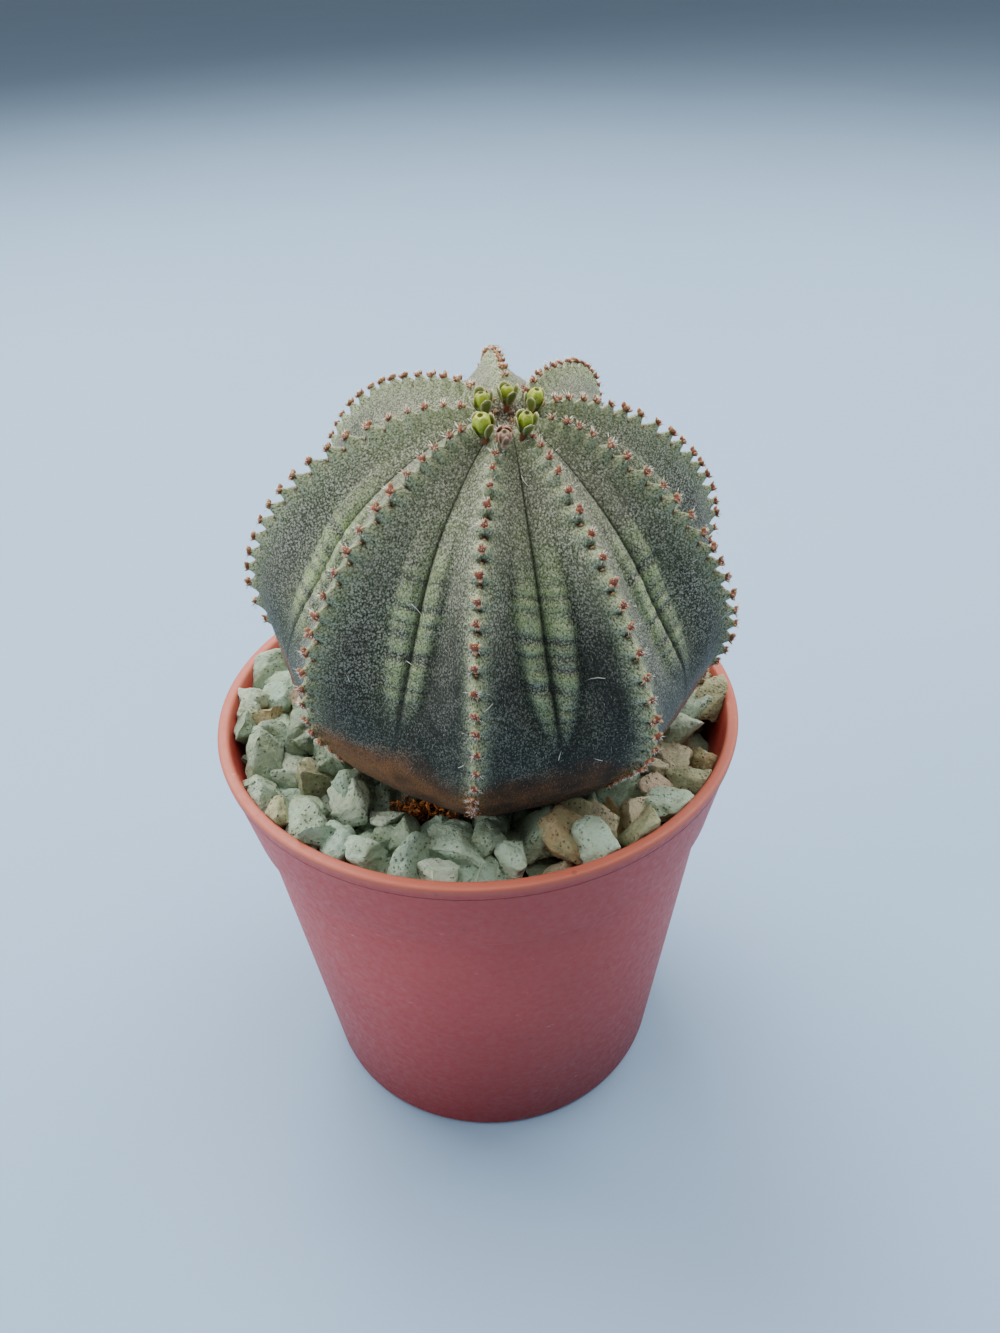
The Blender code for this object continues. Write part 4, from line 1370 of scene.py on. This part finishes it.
def build_pot():
    """The pot as a turned shell with a rounded lip, a deep band, a foot ring and drain holes."""
    band_bottom = POT_HEIGHT - BAND_HEIGHT
    body_top_inside = BODY_TOP_RADIUS - WALL
    foot_outer = BODY_LOW_RADIUS - FOOT_ROUND
    foot_inner = foot_outer - FOOT_RING_WIDTH
    lip_inside = RIM_RADIUS - RIM_LIP
    corners = (
        (lip_inside, POT_HEIGHT, 0.55 * MM),
        (RIM_RADIUS, POT_HEIGHT, 0.75 * MM),
        (RIM_RADIUS - RIM_SLOPE, POT_HEIGHT - RIM_STEP_DOWN[0], 0.5 * MM),
        (RIM_RADIUS - RIM_SLOPE - RIM_STEP, POT_HEIGHT - RIM_STEP_DOWN[1], 0.3 * MM),
        (BAND_LOW_RADIUS, band_bottom + 0.5 * MM, 0.4 * MM),
        (BODY_TOP_RADIUS, band_bottom - 0.35 * MM, 0.5 * MM),
        (BODY_LOW_RADIUS, 0.0, FOOT_ROUND),
        (foot_inner, 0.0, 0.3 * MM),
        (foot_inner - 0.8 * MM, FOOT_HEIGHT, 0.3 * MM),
        (CENTRE_DRAIN_RADIUS, FOOT_HEIGHT, 0.0),
        (CENTRE_DRAIN_RADIUS, FLOOR_TOP, 0.0),
        (BODY_LOW_RADIUS - WALL, FLOOR_TOP, 0.0),
        (body_top_inside, band_bottom, 0.5 * MM),
    )
    outline = rounded(corners)
    turns = np.arange(POT_SIDES) * math.tau / POT_SIDES
    points = np.stack([polar(corner.x + 0.0 * turns, turns, corner.y) for corner in outline])
    rows = len(outline)
    closed = np.concatenate((points, points[:1])).reshape(-1, 3)
    faces = grid_faces(rows + 1, POT_SIDES) % (rows * POT_SIDES)
    pot = make_object("fine_pot", closed[: rows * POT_SIDES], faces.tolist(), pot_material())
    flip_outward(pot)
    drill = bmesh.new()
    for hole in range(SIDE_DRAINS):
        place = polar(SIDE_DRAIN_RING, math.tau * (hole + 0.5) / SIDE_DRAINS, FOOT_HEIGHT)
        bmesh.ops.create_cone(
            drill,
            cap_ends=True,
            segments=32,
            radius1=SIDE_DRAIN_RADIUS,
            radius2=SIDE_DRAIN_RADIUS,
            depth=FLOOR_TOP * 2.0,
            matrix=Matrix.Translation(place),
        )
    cut_away(pot, drill)
    pot.data.set_sharp_from_angle(angle=math.radians(50.0))
    return pot


def flip_outward(obj):
    shape = bmesh.new()
    shape.from_mesh(obj.data)
    bmesh.ops.recalc_face_normals(shape, faces=shape.faces)
    shape.to_mesh(obj.data)
    shape.free()


def cut_away(obj, drill):
    """Subtract a shape from an object and apply it."""
    mesh = bpy.data.meshes.new("drill")
    drill.to_mesh(mesh)
    drill.free()
    cutter = bpy.data.objects.new("drill", mesh)
    bpy.context.scene.collection.objects.link(cutter)
    cut = obj.modifiers.new("Cut", "BOOLEAN")
    cut.operation = "DIFFERENCE"
    cut.solver = "EXACT"
    cut.object = cutter
    graph = bpy.context.evaluated_depsgraph_get()
    result = bpy.data.meshes.new_from_object(obj.evaluated_get(graph))
    obj.modifiers.clear()
    obj.data = result
    bpy.data.objects.remove(cutter)


def pot_material():
    """Terracotta plastic: cloudy tone, painted shade darker low down, painted light on a paler lip, fine
    scuffs and specks.
    """
    nodes = Nodes("terracotta_plastic_skin", 0.5)
    place = nodes.object_place()
    cloud = nodes.noise(place, 38.0, 3.0, 0.55)
    fine = nodes.noise(place, 900.0, 3.0, 0.6)
    height = nodes.tree.nodes.new("ShaderNodeSeparateXYZ")
    nodes.put(height.inputs[0], place)
    level = height.outputs["Z"]
    body = nodes.mix(nodes.ranged(cloud, 0.3, 0.7), srgb(172, 56, 50), srgb(184, 66, 58))
    # Painted shade: the body darker toward the bottom
    low = nodes.ranged(level, 0.040, 0.004)
    body = nodes.mix(low, body, srgb(134, 20, 12))
    # Painted light: the lip's upward faces painted paler
    lip = nodes.ranged(level, POT_HEIGHT - 1.6 * MM, POT_HEIGHT - 0.3 * MM)
    body = nodes.mix(lip, body, srgb(186, 96, 76))
    scuff = nodes.ranged(nodes.noise(nodes.scaled(place, (1.0, 1.0, 2.6)), 520.0, 4.0, 0.7), 0.64, 0.74)
    dust = nodes.times(scuff, nodes.ranged(cloud, 0.45, 0.62, 0.10, 0.55))
    body = nodes.mix(dust, body, srgb(214, 172, 158))
    speck = nodes.ranged(nodes.cells(place, 210.0), 0.10, 0.06)
    body = nodes.mix(nodes.times(speck, 0.35), body, srgb(92, 38, 38))
    nodes.colour(body)
    nodes.rough(nodes.ranged(fine, 0.3, 0.7, 0.42, 0.62))
    nodes.bumped(fine, 0.10, 0.2 * MM)
    return nodes.material


LITTER_RUST = srgb(140, 62, 26)
LITTER_GOLD = srgb(246, 158, 74)
STONE_MINTS = (srgb(172, 194, 172), srgb(158, 184, 164), srgb(188, 204, 182), srgb(150, 170, 146))
STONE_WARMS = (srgb(192, 180, 150), srgb(182, 160, 118), srgb(188, 166, 144), srgb(166, 164, 128))


def wall_radius(height):
    """Radius of the pot's inside near its top."""
    band_bottom = POT_HEIGHT - BAND_HEIGHT
    inside = BODY_TOP_RADIUS - WALL
    share = (height - band_bottom) / BAND_HEIGHT
    return inside + (RIM_RADIUS - RIM_LIP - inside) * share


def plant_clearance(place):
    """Distance of a point from the plant's base, as if it had no ribs."""
    local = plant_frame().inverted() @ Vector(place)
    local -= Vector(base_shift(np.array(local.z)))
    spot = np.array((math.hypot(local.x, local.y), local.z))
    curve = RIB_OUTLINE.curve * (BASE_REACH, 1.0)
    gaps = np.hypot(*(curve - spot).T)
    index = int(np.argmin(gaps))
    inside = spot[0] < curve[index, 0]
    return -gaps[index] if inside else gaps[index]


def lay_stones():
    """Place and size of every stone of the top layers, each resting among the ones before."""
    draw = random.Random(77)
    laid = []
    for attempt in range(STONE_TRIES):
        share = attempt / STONE_TRIES
        size = STONE_SIZES[1] - (STONE_SIZES[1] - STONE_SIZES[0]) * (share ** 0.6) * draw.uniform(0.75, 1.0)
        ring = PILE_RADIUS * math.sqrt(draw.random())
        turn = draw.uniform(0.0, math.tau)
        height = PILE_LOW + draw.uniform(-0.6, 0.4) * MM
        x = ring * math.cos(turn)
        y = ring * math.sin(turn)
        crowded = any(math.hypot(lx - x, ly - y) < 0.30 * size + LITTER_ROOM for lx, ly, _ in LITTER_SPOTS)
        for (other_x, other_y, other_height), other_size in laid:
            gap = math.hypot(other_x - x, other_y - y)
            touch = STONE_TOUCH * (size + other_size)
            if gap < STONE_OVERLAP * touch:
                crowded = True
                break
            if gap < touch:
                height = max(height, other_height + STONE_CLIMB * math.sqrt(touch * touch - gap * gap))
        if crowded or height > PILE_HIGH:
            continue
        if ring > wall_radius(height) - WALL_GAP * size:
            continue
        if plant_clearance((x, y, height)) < PLANT_GAP * size:
            continue
        laid.append(((x, y, height), size))
    return laid


def stone_shape(draw, points, size):
    """A worn, chipped lump: a ball cut by flat planes, then roughened."""
    shape = points.copy()
    for _ in range(draw.randint(*STONE_CUTS)):
        normal = gauss_vector(draw)
        normal /= np.linalg.norm(normal)
        limit = draw.uniform(*STONE_CUT_PLACES)
        over = np.clip(shape @ normal - limit, 0.0, None)
        shape = shape - over[:, None] * normal
    rough = field(shape + draw.uniform(0.0, 90.0), STONE_ROUGH[0], 0)
    fine = field(shape + draw.uniform(0.0, 90.0), STONE_FINE[0], 0)
    shape = shape * (1.0 + STONE_ROUGH[1] * rough - STONE_FINE[1] * np.abs(fine))[:, None]
    shares = np.array((1.0, draw.uniform(*STONE_WIDTHS), draw.uniform(*STONE_HEIGHTS)))
    halves = STONE_HALF * size * shares
    tilts = [draw.uniform(-STONE_TILT, STONE_TILT) for _ in range(2)]
    turn = Euler((*tilts, draw.uniform(0.0, math.tau)))
    return (shape * halves) @ np.array(turn.to_matrix()).T


def inside_wall(points):
    """Points moved in where they would stand in the pot's wall."""
    reach = np.hypot(points[:, 0], points[:, 1])
    allowed = np.array([wall_radius(height) for height in points[:, 2]]) - 0.05 * MM
    scale = np.minimum(1.0, allowed / np.maximum(reach, 0.1 * MM))
    return points * np.stack((scale, scale, np.ones(len(points))), axis=1)


def build_gravel():
    """Loose stones over a layer of plainer ones: the larger ones and the smaller chips."""
    draw = random.Random(19)
    large = Pile()
    small = Pile()
    points, faces = ball(4)
    for place, size in lay_stones():
        warm = 0.08 + 0.40 * float(smooth_step(-0.004, 0.020, place[0] - 0.3 * place[1] - 0.010))
        tint = draw.choice(STONE_WARMS if draw.random() < warm else STONE_MINTS)
        # Painted light: stones toward the front and toward the right painted brighter
        near = 1.0 - float(smooth_step(-0.035, -0.005, place[1]))
        painted_light = 0.90 + 0.30 * near + 0.10 * float(smooth_step(0.0, 0.03, place[0]))
        tint = tint * draw.uniform(0.82, 1.06) * painted_light
        pile = large if size > LARGE_STONE else small
        pile.add(inside_wall(np.array(place) + stone_shape(draw, points, size)), faces, tint)
    material = stone_material()
    return large.build("gravel_stones", material), small.build("gravel_chips", material)


def build_under_gravel():
    """The layer below, seen only through the gaps."""
    draw = random.Random(23)
    pile = Pile()
    points, faces = ball(3)
    for layer, height in enumerate(UNDER_LAYERS):
        ring = 2.0 * MM + 0.5 * UNDER_STONE * layer
        while ring < wall_radius(height) - 2.2 * MM:
            count = max(round(math.tau * ring / UNDER_STONE), 3)
            for index in range(count):
                turn = math.tau * (index + draw.uniform(-0.3, 0.3)) / count
                place = (ring * math.cos(turn), ring * math.sin(turn), height + draw.uniform(-0.4, 0.4) * MM)
                if plant_clearance(place) > 1.6 * MM:
                    # Painted shade: stones of the layer below darkened, as they lie in the gaps
                    tint = draw.choice(STONE_MINTS + STONE_WARMS) * 0.62
                    pile.add(np.array(place) + stone_shape(draw, points, UNDER_STONE), faces, tint)
            ring += UNDER_STONE
    return pile.build("gravel_underlayer", stone_material())


def stone_material():
    """Dusty volcanic stone with fine dark pores and a faint second colour."""
    nodes = Nodes("pale_stone", 0.92)
    tint = nodes.tint()
    place = nodes.object_place()
    patch = nodes.noise(place, 330.0, 3.0, 0.6)
    grain = nodes.noise(place, 1250.0, 4.0, 0.70)
    pore_cells = nodes.cells(place, 1500.0)
    pore_patch = nodes.ranged(nodes.noise(place, 420.0, 2.0), 0.44, 0.58)
    pores = nodes.times(nodes.ranged(pore_cells, 0.30, 0.16), pore_patch)
    colour = nodes.mix(nodes.ranged(patch, 0.42, 0.68, 0.0, 0.55), tint, srgb(148, 160, 118))
    colour = nodes.mix(nodes.ranged(grain, 0.55, 0.75, 0.0, 0.5), colour, srgb(222, 226, 208))
    colour = nodes.mix(nodes.ranged(grain, 0.45, 0.28, 0.0, 0.5), colour, srgb(104, 110, 84))
    colour = nodes.mix(nodes.times(pores, 0.60), colour, srgb(78, 76, 58))
    nodes.colour(colour)
    relief = nodes.maths("SUBTRACT", grain, nodes.times(pores, 0.8))
    nodes.bumped(relief, 0.9, 0.6 * MM)
    return nodes.material


def build_litter():
    """Rust-coloured crumbs of dried roots and mulch caught between the stones and the plant."""
    pile = Pile()
    draw = random.Random(91)
    for x, y, amount in LITTER_SPOTS:
        for _ in range(round(LITTER_CRUMBS * amount)):
            scatter = gauss_vector(draw) * LITTER_SCATTER
            base = np.array((x, y, LITTER_HEIGHT)) + scatter
            direction = gauss_vector(draw) + (0.0, 0.0, 0.5)
            bend = gauss_vector(draw, 0.4)
            length = draw.uniform(*LITTER_REACH)
            points, faces = petal(base, direction, bend, length, 0.42 * MM, 0.22 * MM)
            pile.add(points, faces, mixed(LITTER_RUST, LITTER_GOLD, draw.random()))
    return pile.build("dry_litter", stub_material())


def dress_soil():
    """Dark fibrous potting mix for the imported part's own soil."""
    nodes = Nodes("potting_mix_skin", 0.95)
    place = nodes.object_place()
    crumbs = nodes.cells(place, 520.0)
    fibre = nodes.noise(nodes.scaled(place, (1.0, 3.0, 1.0)), 700.0, 4.0, 0.6)
    colour = nodes.mix(nodes.ranged(fibre, 0.35, 0.65), srgb(46, 34, 26), srgb(92, 68, 48))
    colour = nodes.mix(nodes.ranged(crumbs, 0.25, 0.05, 0.0, 0.6), colour, srgb(150, 138, 118))
    nodes.colour(colour)
    nodes.bumped(crumbs, 0.8, 0.6 * MM)
    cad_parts["soil"].material_slots[0].material = nodes.material


def put_camera():
    """The camera at the photograph's place: turned right, pitched down, then rolled."""
    forward = Vector((
        math.sin(CAMERA_YAW) * math.cos(CAMERA_DOWN),
        math.cos(CAMERA_YAW) * math.cos(CAMERA_DOWN),
        -math.sin(CAMERA_DOWN),
    ))
    right = Vector((math.cos(CAMERA_YAW), -math.sin(CAMERA_YAW), 0.0))
    up = right.cross(forward)
    level = Matrix((right, up, -forward)).transposed()
    matrix = level.to_4x4() @ Matrix.Rotation(CAMERA_ROLL, 4, "Z")
    matrix.translation = CAMERA_PLACE
    data = bpy.data.cameras.new("photo_camera")
    data.sensor_fit = "VERTICAL"
    data.sensor_height = SENSOR_HEIGHT
    data.lens = LENS
    data.clip_start = 0.005
    camera = bpy.data.objects.new("photo_camera", data)
    bpy.context.scene.collection.objects.link(camera)
    camera.matrix_world = matrix
    bpy.context.scene.camera = camera


def put_light(name, place, width, height, power, colour):
    data = bpy.data.lights.new(name, "AREA")
    data.shape = "RECTANGLE"
    data.size = width
    data.size_y = height
    data.energy = power
    data.color = colour
    light = bpy.data.objects.new(name, data)
    bpy.context.scene.collection.objects.link(light)
    light.location = place
    light.rotation_euler = (Vector(LIT_PLACE) - Vector(place)).to_track_quat("-Z", "Y").to_euler()


def put_studio():
    for name, place, width, height, power, colour in LAMPS:
        put_light(name, place, width, height, power, colour)
    world = bpy.data.worlds.new("studio")
    world.use_nodes = True
    background = world.node_tree.nodes["Background"]
    background.inputs["Color"].default_value = WORLD_COLOUR
    background.inputs["Strength"].default_value = WORLD_STRENGTH
    bpy.context.scene.world = world


def build_floor():
    """A plain pale floor that reaches past the picture's edges."""
    nodes = Nodes("pale_floor", 0.7)
    cloud = nodes.noise(nodes.object_place(), 6.0, 3.0)
    nodes.colour(nodes.mix(cloud, *FLOOR_TONES))
    corners = [(FLOOR_HALF * x, FLOOR_HALF * y, 0.0) for x, y in ((-1, -1), (1, -1), (1, 1), (-1, 1))]
    make_object("floor", corners, [(0, 1, 2, 3)], nodes.material, smooth=False)


def add_piece(obj):
    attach(obj, "root")


def main():
    """Put up the studio, then every piece in a fixed order."""
    put_camera()
    put_studio()
    build_floor()
    skin = build_skin()
    skin_tree = BVHTree.FromPolygons(
        [vertex.co.copy() for vertex in skin.data.vertices],
        [polygon.vertices[:] for polygon in skin.data.polygons],
    )
    add_piece(skin)
    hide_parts("plant_body")
    on_skin = (
        build_skin_hairs,
        build_crest_stubs,
        build_scar_beads,
        build_crest_wool,
        build_loose_fibres,
        build_apex_scales,
    )
    for build in on_skin:
        add_piece(build())
    for number, flower in enumerate(FLOWERS, 1):
        add_piece(build_flower(number, skin_tree))
    pot = build_pot()
    add_piece(pot)
    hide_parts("pot")
    stones, chips = build_gravel()
    add_piece(stones)
    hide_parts("gravel")
    add_piece(chips)
    add_piece(build_under_gravel())
    add_piece(build_litter())
    dress_soil()


main()
